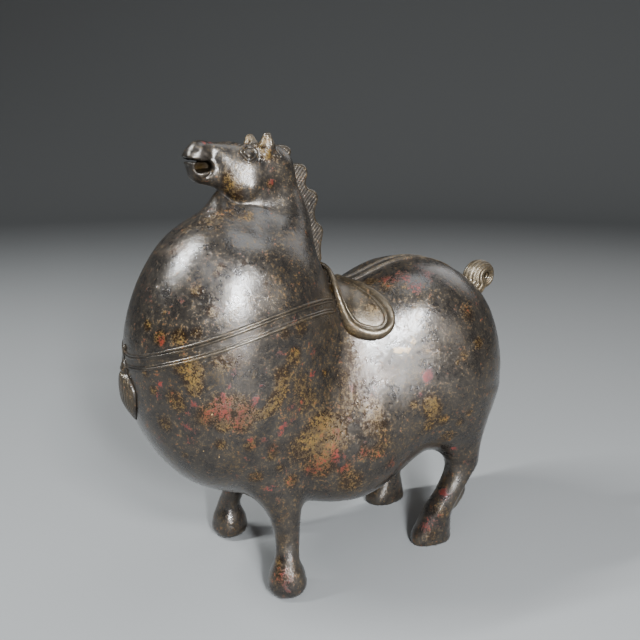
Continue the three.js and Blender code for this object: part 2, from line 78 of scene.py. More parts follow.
def rcone(p, a, b, r1, r2):
    a = A(a, float)
    b = A(b, float)
    ba = b - a
    l2 = ba @ ba
    rr = r1 - r2
    a2 = l2 - rr * rr
    il2 = 1 / l2
    pa = p - a
    y = pa @ ba
    z = y - l2
    x2 = ((pa * l2 - y[..., None] * ba) ** 2).sum(-1)
    y2 = y * y * l2
    z2 = z * z * l2
    k = np.sign(rr) * rr * rr * x2
    o = (np.sqrt(x2 * a2 * il2) + y * rr) * il2 - r1
    o = np.where(np.sign(z) * a2 * z2 > k, np.sqrt(x2 + z2) * il2 - r2, o)
    return np.where(np.sign(y) * a2 * y2 < k, np.sqrt(x2 + y2) * il2 - r1, o)


def along(z, zk, vk):
    # smooth curve through (knot, value) pairs
    zk = A(zk, float)
    vk = A(vk, float)
    n = len(zk)
    m = np.empty(n)
    d = np.diff(zk)
    s = np.diff(vk) / d
    m[0] = s[0]
    m[-1] = s[-1]
    m[1:-1] = (s[1:] * d[:-1] + s[:-1] * d[1:]) / (d[:-1] + d[1:])
    zc = np.clip(z, zk[0], zk[-1])
    i = np.clip(np.searchsorted(zk, zc, side='right') - 1, 0, n - 2)
    h = zk[i + 1] - zk[i]
    t = (zc - zk[i]) / h
    return ((2 * t ** 3 - 3 * t ** 2 + 1) * vk[i] + (t ** 3 - 2 * t ** 2 + t) * h * m[i]
            + (-2 * t ** 3 + 3 * t ** 2) * vk[i + 1] + (t ** 3 - t ** 2) * h * m[i + 1])


FULL = 2.6


def fullbody(p, c, r):
    # an ellipsoid whose section across the body is a little squarer
    x = np.abs(p[..., 0]) / r[0]
    y = (p[..., 1] - c[1]) / r[1]
    z = np.abs(p[..., 2] - c[2]) / r[2]
    s = np.maximum(x ** FULL + z ** FULL, 1e-12)
    k0 = np.sqrt(np.maximum(s ** (2 / FULL) + y * y, 1e-12))
    m = s ** (2 / FULL - 1) / k0
    gx = m * x ** (FULL - 1) / r[0]
    gz = m * z ** (FULL - 1) / r[2]
    gy = y / r[1] / k0
    return (k0 - 1) / np.maximum(np.sqrt(gx * gx + gy * gy + gz * gz), 1e-9)


NECK = [[-44.9, 145.9, 21.2], [-35.7, 164.3, 13.2], [-40.2, 183.45, 13.8]]
NECK_WIDE_Z, NECK_WIDE = [130, 150, 165, 185], [0.95, 0.92, 0.77, 0.52]


def trunk(p):
    ap = p.copy()
    ap[..., 0] = np.abs(ap[..., 0])
    w = along(p[..., 2], NECK_WIDE_Z, NECK_WIDE)
    q = p.copy()
    q[..., 0] = q[..., 0] / w
    n = NECK
    d = smin(fullbody(p, [0, -53.75, 106.65], [41.6, 46.95, 60.2]),
             w * rcone(q, [0, n[0][0], n[0][1]], [0, n[1][0], n[1][1]], n[0][2], n[1][2]), 32.1)
    d = smin(d, w * rcone(q, [0, n[1][0], n[1][1]], [0, n[2][0], n[2][1]], n[1][2], n[2][2]), 16.05)
    d = smin(d, fullbody(p, [0, -4.05, 59.3], [39.1, 35.1, 27.75]), 32.6)
    r = smin(fullbody(p, [0, 40.35, 100.5], [41.3, 46.3, 45.05]), ell(ap, [16.75, 51.5, 88.1], [21.3] * 3), 28)
    d = smin(d, r, 34)
    # the throat is drawn in under the jaw and the cheeks
    return d + (1.4 + 1.9 * step(-60, -50, p[..., 1])) * step(158, 176, p[..., 2]) * step(-24, -40, p[..., 1])


FORE = dict(z=[0, 1.2, 3.5, 9, 17, 26, 37, 50, 62], x=[30.1, 30.1, 30.1, 30.1, 30.1, 27.8, 27.0, 24.6, 20.0],
            y=[-43.2, -43.2, -43.2, -43.2, -43.2, -41.5, -41.4, -43.1, -44.9],
            r=[5.9, 7.5, 8.9, 8.6, 5.9, 5.8, 7.3, 10.3, 12.0], blend=8.8, stagger=3.1, n=2.3, turn=0.3)
HIND = dict(z=[0, 1.0, 3.5, 9, 17, 28, 40, 52, 66, 76], x=[23.4, 23.4, 23.4, 23.9, 25.0, 26.4, 25.3, 23.9, 21.9, 20.0],
            y=[45.6, 45.6, 45.6, 46.6, 48.2, 54.0, 60.7, 59.7, 55.5, 54.5],
            r=[7.3, 7.6, 7.6, 7.4, 7.0, 6.5, 7.8, 11.2, 15.2, 16.0], long=[1.52, 1.54, 1.52, 1.33, 1.08, 1.0, 1.0, 1.0, 1.0, 1.0],
            blend=14, stagger=-0.5, n=2.5, turn=0.3)


def legfield(p, g):
    sx = np.where(p[..., 0] >= 0, 1.0, -1.0)
    z = p[..., 2]
    r = along(z, g['z'], g['r'])
    slope = along(z + 0.5, g['z'], g['r']) - along(z - 0.5, g['z'], g['r'])
    dx = np.abs(p[..., 0]) - along(z, g['z'], g['x'])
    dy = p[..., 1] - along(z, g['z'], g['y']) - sx * g['stagger'] * np.clip(1 - (z - 20) / 40, 0, 1)
    if 'long' in g:
        dy = dy / along(z, g['z'], g['long'])
    cs, sn = np.cos(g['turn']), np.sin(g['turn'])
    u, v = np.abs(dx * cs - dy * sn), np.abs(dx * sn + dy * cs)
    n = g['n']
    rho = (u ** n + v ** n + 1e-9) ** (1 / n)
    k = 2 ** (0.5 * (0.5 - 1 / n))
    d = (rho - r / k) / np.sqrt(1 + np.clip(slope, -1.5, 1.5) ** 2)
    return np.maximum(d, z - g['z'][-1]), dx, dy


def legs(p):
    f, dx, dy = legfield(p, FORE)
    h, dx, dy = legfield(p, HIND)
    # the spur at the back of the hind fetlock, and the hock
    q = np.stack([dx, dy, p[..., 2]], -1)
    spur = smax(ell(q, [0.2, 6.3, 21.8], [4.2, 4.7, 8.5]), 16.5 - p[..., 2], 1.2)
    h = smin(h, spur, 1.6)
    h = smin(h, ell(q, [0.0, 4.2, 43.0], [4.5, 4.6, 6.0]), 5.0)
    return f, h


def body(p):
    d = trunk(p)
    f, h = legs(p)
    d = smin(smin(d, f, FORE['blend']), h, HIND['blend'])
    return np.maximum(d, -p[..., 2])


def gradient(f, p, e=0.05):
    g = np.empty_like(p)
    for i in range(3):
        s = np.zeros(3)
        s[i] = e
        g[..., i] = (f(p + s) - f(p - s)) / (2 * e)
    return g


def on_skin(f, p, steps=4, e=0.05):
    p = p.copy()
    for _ in range(steps):
        g = gradient(f, p, e)
        p -= g * (f(p) / np.maximum((g * g).sum(-1), 0.05))[..., None]
    return p


def unit(v):
    return v / np.maximum(np.linalg.norm(v, axis=-1, keepdims=True), 1e-12)


def normal(f, p, e=0.05):
    return unit(gradient(f, p, e))


# ---------------------------------------------------------------- from field to mesh
def evaluate(f, pts, size=400000):
    out = np.empty(len(pts))
    for i in range(0, len(pts), size):
        out[i:i + size] = f(pts[i:i + size])
    return out


def cell_table():
    # for each pattern of inside corners of a cell: which of its 12 edges belong to the same sheet of surface
    corner = {(i, j, k): i * 4 + j * 2 + k for i in (0, 1) for j in (0, 1) for k in (0, 1)}
    edges = []
    for ax in range(3):
        o = [k for k in range(3) if k != ax]
        for d1 in (0, 1):
            for d2 in (0, 1):
                a = [0, 0, 0]
                a[o[0]], a[o[1]] = d1, d2
                b = list(a)
                b[ax] = 1
                edges.append((corner[tuple(a)], corner[tuple(b)]))
    faces = []
    for ax in range(3):
        for v in (0, 1):
            on = {n for c, n in corner.items() if c[ax] == v}
            faces.append([e for e, (a, b) in enumerate(edges) if a in on and b in on])
    comp = np.zeros((256, 12), np.int64)
    count = np.zeros(256, np.int64)
    for m in range(256):
        ins = [bool(m >> n & 1) for n in range(8)]
        cut = [ins[a] != ins[b] for a, b in edges]
        g = list(range(12))

        def join(x, y):
            gx, gy = g[x], g[y]
            for q in range(12):
                if g[q] == gy:
                    g[q] = gx
        for f in faces:
            c = [e for e in f if cut[e]]
            if len(c) == 2:
                join(c[0], c[1])
            elif len(c) == 4:
                for n in range(8):
                    if ins[n]:
                        at = [e for e in c if n in edges[e]]
                        if len(at) == 2:
                            join(at[0], at[1])
        ids = sorted({g[e] for e in range(12) if cut[e]})
        count[m] = len(ids)
        for e in range(12):
            if cut[e]:
                comp[m, e] = ids.index(g[e])
    return edges, comp, count


EDGES, COMP, COUNT = cell_table()


def surface_net(f, lo, hi, h, relax=2):
    # vertices and quads of the zero surface, on a grid of spacing h, then settled onto the surface
    lo = A(lo, float)
    n = (np.ceil((A(hi, float) - lo) / h)).astype(int) + 1
    B = 6
    nb = -(-n // B)
    n = nb * B
    c = np.stack(np.meshgrid(*[np.arange(k) for k in nb], indexing='ij'), -1).reshape(-1, 3)
    fc = evaluate(f, lo + (c * B + (B - 1) / 2) * h)
    F = np.repeat(np.repeat(np.repeat(fc.reshape(nb), B, 0), B, 1), B, 2)
    near = (np.abs(fc) < B * h * 1.25 + 0.6).reshape(nb)
    mask = np.repeat(np.repeat(np.repeat(near, B, 0), B, 1), B, 2)
    idx = np.argwhere(mask)
    F[mask] = evaluate(f, lo + idx * h)
    S = F < 0
    corners = [(i, j, k) for i in (0, 1) for j in (0, 1) for k in (0, 1)]
    code = np.zeros(tuple(n - 1), np.uint8)
    for q, (i, j, k) in enumerate(corners):
        code |= S[i:n[0] - 1 + i, j:n[1] - 1 + j, k:n[2] - 1 + k].astype(np.uint8) << q
    mixed = np.argwhere((code > 0) & (code < 255))
    mc = code[mixed[:, 0], mixed[:, 1], mixed[:, 2]].astype(np.int64)
    first = np.concatenate([[0], np.cumsum(COUNT[mc])])
    total = first[-1]
    first = first[:-1]
    V = np.zeros((total, 3))
    cnt = np.zeros(total)
    val = [F[mixed[:, 0] + c[0], mixed[:, 1] + c[1], mixed[:, 2] + c[2]] for c in corners]
    for e, (a, b) in enumerate(EDGES):
        k = np.nonzero((val[a] < 0) != (val[b] < 0))[0]
        t = val[a][k] / (val[a][k] - val[b][k])
        ca, cb = A(corners[a], float), A(corners[b], float)
        q = mixed[k] + ca + (cb - ca) * t[:, None]
        v = first[k] + COMP[mc[k], e]
        np.add.at(V, v, q)
        np.add.at(cnt, v, 1)
    V = lo + V / cnt[:, None] * h
    cell = np.full(n - 1, -1, np.int64)
    cell[mixed[:, 0], mixed[:, 1], mixed[:, 2]] = np.arange(len(mixed))
    quads = []
    for ax in range(3):
        s0 = [slice(None)] * 3
        s1 = [slice(None)] * 3
        s0[ax] = slice(0, n[ax] - 1)
        s1[ax] = slice(1, n[ax])
        a, b = S[tuple(s0)], S[tuple(s1)]
        e = np.argwhere(a != b)
        o1, o2 = [k for k in range(3) if k != ax]
        e = e[(e[:, o1] > 0) & (e[:, o2] > 0) & (e[:, o1] < n[o1] - 1) & (e[:, o2] < n[o2] - 1)]
        inside = a[e[:, 0], e[:, 1], e[:, 2]]
        ring = []
        for d1, d2 in ((0, 0), (1, 0), (1, 1), (0, 1)):
            q = e.copy()
            q[:, o1] -= d1
            q[:, o2] -= d2
            k = cell[q[:, 0], q[:, 1], q[:, 2]]
            ring.append(first[k] + COMP[mc[k], ax * 4 + d1 * 2 + d2])
        Q = np.stack(ring, 1)
        flip = inside if ax != 1 else ~inside
        Q[~flip] = Q[~flip][:, ::-1]
        quads.append(Q)
    Q = np.concatenate(quads)
    ed = np.concatenate([Q[:, [0, 1]], Q[:, [1, 2]], Q[:, [2, 3]], Q[:, [3, 0]]])
    for it in range(relax + 1):
        g = gradient(f, V, 0.04)
        V = V - np.clip(f(V), -h, h)[:, None] * g / np.maximum((g * g).sum(-1), 0.1)[:, None]
        if it < relax:
            deg = np.maximum(np.bincount(ed[:, 0], minlength=len(V)), 1)
            m = np.stack([np.bincount(ed[:, 0], V[ed[:, 1], k], len(V)) for k in range(3)], -1) / deg[:, None]
            nn = unit(g)
            d = (m - V) * 0.6
            V = V + d - nn * (d * nn).sum(-1)[:, None]
    g = gradient(f, V, 0.04)
    V = V - np.clip(f(V), -h, h)[:, None] * g / np.maximum((g * g).sum(-1), 0.1)[:, None]
    return V, Q


# ---------------------------------------------------------------- head
def cap2(p, a, b, r1, r2):
    # a tapered capsule across the whole head: a distance in the (y, z) plane
    q = np.zeros_like(p)
    q[..., 1:] = p[..., 1:]
    return rcone(q, [0, a[0], a[1]], [0, b[0], b[1]], r1, r2)


def bell(x, w):
    return np.exp(-(x / w) ** 2)


def line_distance(s, t, pts):
    best = np.full(s.shape, 1e9)
    for (a0, a1), (b0, b1) in zip(pts[:-1], pts[1:]):
        e0, e1 = b0 - a0, b1 - a1
        k = np.clip(((s - a0) * e0 + (t - a1) * e1) / (e0 * e0 + e1 * e1), 0, 1)
        best = np.minimum(best, np.hypot(s - a0 - k * e0, t - a1 - k * e1))
    return best


EYE = [7.2, -44.9, 196.5]


def ringed(s, t, c, r, power=2.0):
    # signed distance (nearly) to an oval outline in the eye's plane
    q = (np.abs((s - c[0]) / r[0]) ** power + np.abs((t - c[1]) / r[1]) ** power + 1e-9) ** (1 / power)
    return (q - 1) * (r[0] + r[1]) * 0.5


def eye_relief(ap):
    # eyeball, lids and brow, as a height over the face; s runs back and t up in the eye's own plane
    s = ap[..., 1] - EYE[1]
    t = ((ap[..., 2] - EYE[2]) - (ap[..., 0] - EYE[0])) * 0.7071
    s2 = s - 0.18 * (t - 0.3)
    t2 = t - 0.3
    front = 1.9 - 0.4 * step(0.5, -2.0, s2)
    q = (np.abs(s2 / 3.0) ** front + np.abs(t2 / 3.5) ** front + 1e-9) ** (1 / front)
    r = (q - 1) * 3.1
    side = step(0.5, 3.5, ap[..., 0]) * step(9.5, 6.5, np.sqrt(s ** 2 + t ** 2))
    ball = 1.30 * np.sqrt(np.clip(1 - (q / 0.92) ** 2, 0, 1))
    lid = 0.60 * bell(r - 0.42, 0.46) - 0.34 * bell(r + 0.36, 0.34)
    low = 0.30 * bell(r - 1.75, 0.42) - 0.24 * bell(r - 1.16, 0.34)
    low = low * step(0.6, -1.4, t2 + 0.5 * s2)
    g = ringed(s, t, (0.9, 0.5), (3.9, 5.4))
    an = np.arctan2(t - 0.5, s - 0.9)
    fade = step(-1.15, -0.75, an) * step(2.6, 1.8, an)
    brow = fade * (0.55 * bell(g, 0.62) - 0.55 * bell(g - 0.98, 0.46))
    socket = -0.45 * bell(np.hypot(s2 / 1.1, t2 / 1.15), 3.9)
    return side * (ball + lid + low + brow + socket)


# ears: base and tip of the left one, then of the right one, which is blunter
EARS = [([6.0, -36.4, 199.2], [6.8, -36.55, 203.4], 3.65, 1.75), ([5.9, -36.4, 198.9], [6.6, -36.5, 202.5], 3.6, 2.15)]
# strands of hair drawn down from the ear to the foot of the mane
RIBS = [[(-39.6, 199.0), (-38.4, 197.9), (-36.6, 196.6)],
        [(-38.9, 199.9), (-37.3, 198.5), (-35.4, 197.2), (-33.4, 195.6)],
        [(-38.0, 200.7), (-36.1, 199.2), (-34.2, 197.8), (-31.9, 195.4)],
        [(-36.6, 201.0), (-34.9, 199.9), (-32.8, 198.2), (-30.7, 195.0)]]


def head(p):
    ap = p.copy()
    ap[..., 0] = np.abs(ap[..., 0])
    y, z = p[..., 1], p[..., 2]
    skull = smin(ell(p, [0, -37.0, 191.3], [9.5, 12.7, 9.4]), ell(ap, [5.3, -45.2, 185.3], [7.0, 10.4, 10.4]), 3.9)
    # upper jaw: round nose and a full lip
    up = smin(rcone(p, [0, -49.3, 194.8], [0, -63.6, 197.9], 6.0, 3.5), ell(p, [0, -64.9, 197.8], [4.95, 4.4, 3.5]), 2.6)
    up = smin(up, ell(p, [0, -66.8, 196.0], [4.7, 3.6, 1.75]), 2.2)
    # lower jaw: a scoop whose lip stands up at the front
    low = smin(rcone(p, [0, -49.8, 188.5], [0, -62.8, 187.9], 8.3, 4.1), ell(p, [0, -64.9, 188.4], [4.9, 3.8, 3.5]), 2.4)
    low = smin(low, ell(p, [0, -67.2, 190.0], [4.6, 2.0, 4.1]), 1.5)
    jaws = smin(up, low, 7)
    d = smin(skull, jaws, 3.9)
    d = smax(d, -cap2(p, [-69.0, 193.95], [-76.0, 194.6], 0.7, 1.6), 0.7)
    # the open mouth: deep at the sides, a narrow gap over the lower lip in front, and the lips' rim
    m = smax(cap2(p, [-62.9, 191.35], [-65.5, 191.2], 2.15, 2.4), 0.9 - ap[..., 0], 0.8)
    m = np.minimum(m, cap2(p, [-66.0, 193.4], [-70.5, 194.0], 0.6, 0.45))
    rim = 0.24 * bell(m - 1.0, 0.8) * step(-59.5, -62.0, y) * step(1.0, 3.0, ap[..., 0])
    d = d - rim
    d = smax(d, -m, 0.6)
    tongue = ell(p, [0, -62.4, 188.9], [3.0, 5.0, 1.4], tilt=-0.06)
    d = smin(d, tongue, 0.8)
    rho = np.hypot(y + 64.6, z - 191.2)
    an = np.arctan2(z - 191.2, y + 64.6)
    fade = step(1.45, 1.0, an) * step(-1.5, -1.05, an) * step(1.0, 3.0, ap[..., 0])
    reach = 4.05 + 0.35 * step(0.2, -1.2, an)
    d = d + fade * (0.42 * bell(rho - reach, 0.48) - 0.18 * bell(rho - reach - 1.25, 0.8))
    d = smin(d, rcone(ap, [3.2, -68.6, 195.5], [3.9, -62.4, 195.9], 1.0, 0.8), 2.0)
    d = d + 0.22 * bell(np.sqrt((y + 66.6) ** 2 + (z - 198.7) ** 2), 0.7) * step(1.5, 2.8, ap[..., 0])
    # the hollow behind the lips, and the long plane that runs from it down over the cheek
    d = d + 0.4 * bell(np.hypot(y + 59.4, (z - 196.2) / 1.5), 2.4) * step(2.5, 5, ap[..., 0])
    q = ap - A([9.1, -51.67, 190.03])
    n, l, b = q @ A([0.923, -0.300, 0.242]), q @ A([0.380, 0.625, -0.677]), q @ A([-0.052, -0.717, -0.691])
    flat = np.hypot(n + 8.5, b) - 8.5
    w = 0.85 * bell(b, 4.4) * step(-10.5, -6.5, l) * step(14, 8, l)
    d = d + w * np.clip(flat - d, -2.2, 2.2) * step(1.5, 4.5, ap[..., 0])
    d = d - 0.30 * bell(np.hypot(y + 52.3, z - 201), 2.2) * step(3, 1, ap[..., 0])
    d = d - eye_relief(ap)
    d = smin(d, ell(ap, [7.5, -38.2, 195.8], [2.4, 2.7, 2.5]), 1.0)
    for k, line in enumerate(RIBS):
        r = line_distance(y, z, line)
        d = d - (0.18 * bell(r, 0.45) - (0.12 * bell(r - 0.7, 0.3))) * step(4.5, 6, ap[..., 0])
    e = np.stack([ap[..., 0], y + 2.4 * step(2, -2, p[..., 0]), z], -1)
    ear = np.where(p[..., 0] > 0, rcone(e, *EARS[0]), rcone(e, *EARS[1]))
    ear = ear - 0.34 * bell(e[..., 1] + 35.25, 0.5) * step(6.4, 7.6, ap[..., 0]) * step(199, 200.5, z)
    ear = smax(ear, -rcone(e, [4.1, -38.5, 201.4], [5.0, -38.0, 203.7], 1.25, 0.8), 0.8)
    d = smin(d, ear, 0.9)
    return d


def join(p):
    # the cheek stands off the throat, but behind it the skull runs softly into the neck
    return 1.3 + 6.5 * step(-47, -35, p[..., 1])


def full(p):
    return smin(body(p), head(p), join(p))


# ---------------------------------------------------------------- raised work on the body
def noise(p, scale, seed):
    # smooth value noise about zero, the same on every run
    q = p / scale
    i = np.floor(q).astype(np.int64)
    f = q - i
    f = f * f * (3 - 2 * f)
    out = 0
    for dx in (0, 1):
        for dy in (0, 1):
            for dz in (0, 1):
                n = (i[..., 0] + dx) * 73856093 ^ (i[..., 1] + dy) * 19349663 ^ (i[..., 2] + dz) * 83492791 ^ (seed * 2654435)
                n = (n ^ (n >> 13)) * 1274126177 & 0x7fffffff
                n = ((n ^ (n >> 16)) & 0xffff) / 65535.0 - 0.5
                w = (f[..., 0] if dx else 1 - f[..., 0]) * (f[..., 1] if dy else 1 - f[..., 1]) * (f[..., 2] if dz else 1 - f[..., 2])
                out = out + n * w
    return out


def cast_out(o, d, f=trunk, far=140.0):
    # outermost point of the skin on the ray from o along d
    o, d = np.broadcast_arrays(A(o, float), A(d, float))
    t = np.full(o.shape[:-1], far)
    for _ in range(80):
        s = f(o + d * t[..., None])
        t = t - np.clip(s * 0.8, -3, 8)
    return o + d * t[..., None]


def tube_mesh(rings, close_ends=True):
    # rings: (n, m, 3) closed sections in order along the piece
    n, m, _ = rings.shape
    V = rings.reshape(-1, 3)
    i, j = np.meshgrid(np.arange(n - 1), np.arange(m), indexing='ij')
    a = i * m + j
    b = i * m + (j + 1) % m
    Q = np.stack([a, b, b + m, a + m], -1).reshape(-1, 4)
    faces = [Q]
    T = np.zeros((0, 3), np.int64)
    if close_ends:
        V = np.concatenate([V, rings[0].mean(0)[None], rings[-1].mean(0)[None]])
        c0, c1 = n * m, n * m + 1
        k = np.arange(m)
        T = np.concatenate([np.stack([np.full(m, c0), (k + 1) % m, k], 1),
                            np.stack([np.full(m, c1), (n - 1) * m + k, (n - 1) * m + (k + 1) % m], 1)])
    return V, Q, T


def outward(V, Q, T):
    tri = np.concatenate([Q[:, [0, 1, 2]], Q[:, [0, 2, 3]], T])
    vol = np.einsum('ij,ij->i', V[tri[:, 0]], np.cross(V[tri[:, 1]], V[tri[:, 2]])).sum()
    return (Q, T) if vol > 0 else (Q[:, ::-1], T[:, ::-1])


def band_mesh(line, across, u, h, deep=1.5, ends=3, wob=0.0, seed=1, gain=None):
    # a band on the skin: middle line (n, 3), direction across it, and its section as offsets u and heights h
    n, m = len(line), len(u)
    P = line[:, None] + across[:, None] * u[None, :, None]
    P = on_skin(trunk, P, 3)
    N = normal(trunk, P)
    fade = np.ones(n)
    H = np.tile(h, (n, 1))
    if ends:
        k = np.minimum(np.arange(n), np.arange(n)[::-1])
        fade = np.clip((k + 0.2) / ends, 0, 1) ** 0.5
        H = -0.6 + (H + 0.6) * fade[:, None]
    if gain is not None:
        H = np.where(H > 0, H * gain[:, None], H)
    if wob:
        H = H + wob * noise(P, 2.2, seed) * (H > 0.2) + wob * noise(P, 7.0, seed + 5) * (H > 0.2)
    top = P + N * H[..., None]
    low = np.stack([P[:, -1] - N[:, -1] * deep, P[:, 0] - N[:, 0] * deep], 1)
    return tube_mesh(np.concatenate([top, low], 1))


def heights(u, parts, base):
    # a section: base height with rounded ridges (place, height, half width) laid on it
    h = np.full(len(u), base)
    for c, a, w in parts:
        s = 1 - ((u - c) / w) ** 2
        h = np.maximum(h, base + (a - base) * np.sqrt(np.clip(s, 0, 1)))
    return h


def strap():
    n = 300
    a = (np.linspace(0, 1, n) - 0.5) * 5.0
    d = np.stack([-np.sin(a), -np.cos(a), 0 * a], -1)
    z = np.full(n, 120.0)
    for _ in range(25):
        o = np.stack([0 * z, -45 + 0 * z, z], -1)
        P = cast_out(o, d)
        z = z + 0.6 * (along(P[:, 1], [-101, -91, -77, -62, -45, -33, -22, -12], [112.4, 117.4, 122.6, 127.5, 131.7, 133.2, 132.8, 131.0]) - z)
    # even steps along the line
    s = np.concatenate([[0], np.cumsum(np.linalg.norm(np.diff(P, axis=0), axis=1))])
    t = np.linspace(0, s[-1], int(s[-1] / 0.8))
    P = on_skin(trunk, np.stack([np.interp(t, s, P[:, k]) for k in range(3)], -1), 3)
    N = normal(trunk, P)
    tan = unit(np.gradient(P, axis=0))
    W = unit(np.cross(N, tan))
    W = W * np.sign(W[:, 2:3])
    w = 3.55
    u = np.concatenate([[-w], np.arange(-w + 0.16, w - 0.1, 0.16), [w]])
    h = heights(u, [(w - 0.62, 1.18, 0.55), (w - 1.85, 1.0, 0.5), (-w + 1.75, 0.92, 0.38), (-w + 0.68, 1.28, 0.66)], 0.5)
    h = np.where(np.abs(u - (w - 1.24)) < 0.14, 0.34, h)
    h = np.where(np.abs(u - (-w + 1.36)) < 0.1, 0.4, h)
    h[0] = h[-1] = -0.3
    h = np.where(np.abs(u) > w - 0.1, -0.3, h)
    # over the front of the chest the strap is nearly flush
    return band_mesh(P, W, u, h, wob=0.16, seed=3, gain=1 - 0.62 * step(-82, -98, P[:, 1]))


def croup():
    y = np.arange(3.0, 76.5, 0.8)
    z = np.zeros_like(y)
    P = cast_out(np.stack([z, y, z + 100], -1), np.tile([0.0, 0.0, 1.0], (len(y), 1)))
    w = 4.4
    W = np.tile([1.0, 0, 0], (len(y), 1))
    u = np.concatenate([[-w], np.arange(-w + 0.18, w - 0.1, 0.18), [w]])
    h = heights(u, [(w - 0.6, 1.0, 0.55), (w - 1.75, 1.0, 0.5), (-w + 1.75, 1.0, 0.5), (-w + 0.6, 1.0, 0.55)], 0.42)
    h = np.where(np.abs(np.abs(u) - (w - 1.18)) < 0.14, 0.2, h)
    h = np.where(np.abs(u) > w - 0.1, -0.3, h)
    return band_mesh(P, W, u, h, ends=4, wob=0.2, seed=9)


# the saddle: one flap on each side in a single outline over the back, with a rolled edge
SKIRT_AXIS_Z = 95.0
SKIRT = [[-7.4, 4], [-8.4, 12], [-9.4, 20], [-9.8, 27.5], [-8.2, 36.5], [-5.8, 43.6], [-2.8, 48.2], [0.7, 51.6], [4.3, 53.8],
         [7.8, 53.8], [10.3, 52], [11.8, 49], [12.4, 45], [12.2, 40], [11, 33.5], [9.4, 26.5], [7.6, 20], [6.2, 12], [5.2, 4]]
SKIRT_R = 39.0


def skirt_outline():
    h = A(SKIRT, float)
    loop = np.concatenate([h, (h * [1, -1])[::-1]])
    loop[:, 1] *= np.pi / 180 * SKIRT_R
    # a smooth closed curve through the points
    n = len(loop)
    out = []
    for i in range(n):
        p0, p1, p2, p3 = loop[i - 1], loop[i], loop[(i + 1) % n], loop[(i + 2) % n]
        for t in (0, 0.25, 0.5, 0.75):
            out.append(0.5 * ((2 * p1) + (-p0 + p2) * t + (2 * p0 - 5 * p1 + 4 * p2 - p3) * t * t + (-p0 + 3 * p1 - 3 * p2 + p3) * t ** 3))
    c = A(out)
    # grow it to the outer foot of the rolled edge
    tan = unit(np.roll(c, -1, 0) - np.roll(c, 1, 0))
    nor = np.stack([tan[:, 1], -tan[:, 0]], -1)
    area = (c[:, 0] * np.roll(c[:, 1], -1) - np.roll(c[:, 0], -1) * c[:, 1]).sum()
    return c + nor * (2.1 if area > 0 else -2.1)


OUTLINE = skirt_outline()


def polygon_in(q, poly):
    # signed distance to a closed outline, positive inside it
    a = poly
    b = np.roll(poly, -1, 0)
    best = np.full(len(q), 1e9)
    inside = np.zeros(len(q), bool)
    for p0, p1 in zip(a, b):
        e = p1 - p0
        w = q - p0
        t = np.clip(w @ e / (e @ e), 0, 1)
        best = np.minimum(best, ((w - t[:, None] * e) ** 2).sum(1))
        c = (p0[1] > q[:, 1]) != (p1[1] > q[:, 1])
        with np.errstate(divide='ignore', invalid='ignore'):
            x = p0[0] + (q[:, 1] - p0[1]) / (p1[1] - p0[1] if p1[1] != p0[1] else 1e-9) * e[0]
        inside ^= c & (q[:, 0] < x)
    d = np.sqrt(best)
    return np.where(inside, d, -d)


def charted(poly, lo, hi, h=0.12):
    # the outline's distance looked up on a fine chart, for speed
    n = np.ceil((A(hi) - A(lo)) / h).astype(int) + 1
    g = np.stack(np.meshgrid(lo[0] + np.arange(n[0]) * h, lo[1] + np.arange(n[1]) * h, indexing='ij'), -1)
    D = polygon_in(g.reshape(-1, 2), poly).reshape(n)

    def look(q):
        x = np.clip((q - A(lo)) / h, 0, n - 1.001)
        i = np.floor(x).astype(int)
        f = x - i
        i0, j0 = i[:, 0], i[:, 1]
        return ((D[i0, j0] * (1 - f[:, 0]) + D[i0 + 1, j0] * f[:, 0]) * (1 - f[:, 1])
                + (D[i0, j0 + 1] * (1 - f[:, 0]) + D[i0 + 1, j0 + 1] * f[:, 0]) * f[:, 1])
    return look


SKIRT_CHART = charted(OUTLINE, [-17.0, -45.0], [21.0, 45.0])


def saddle_field(p):
    sh = p.shape[:-1]
    p = p.reshape(-1, 3)
    t = trunk(p)
    a = np.arctan2(p[:, 0], p[:, 2] - SKIRT_AXIS_Z)
    q = np.stack([p[:, 1], a * SKIRT_R], -1)
    d = SKIRT_CHART(q)
    # the rolled edge is thick at the front and the bottom, thinner at the back and over the spine
    side = np.abs(a) * 180 / np.pi
    mid = along(side, [0, 20, 36, 48, 54], [-1.2, -1.0, 1.5, 5.0, 6.0])
    rear = step(-2.0, 3.0, p[:, 1] - mid) * step(53, 45, side)
    wide = 4.6 - 1.3 * rear
    top = 2.15 - 0.75 * rear
    top = top - 0.35 * step(20, 4, side)
    s = d / wide
    roll = np.sqrt(np.clip(1 - ((s - 0.46) / 0.52) ** 2, 0, 1))
    h = np.where(d < 0.46 * wide, -0.5 + (top + 0.5) * roll, 0.62 + (top - 0.62) * roll)
    h = np.where(s > 0.98, 0.62, h)
    h = h + 0.42 * bell(d - wide - 0.95, 0.36) * step(1, 6, side)
    h = np.where(d < 0, -0.5 + 1.5 * np.maximum(d, -1.5), h)
    f = np.maximum((t - h) / 1.5, -(t + 1.3))
    return f.reshape(sh)


def saddle():
    return surface_net(saddle_field, [-42, -14.5, 96], [42, 18, 147], 0.42, relax=2)


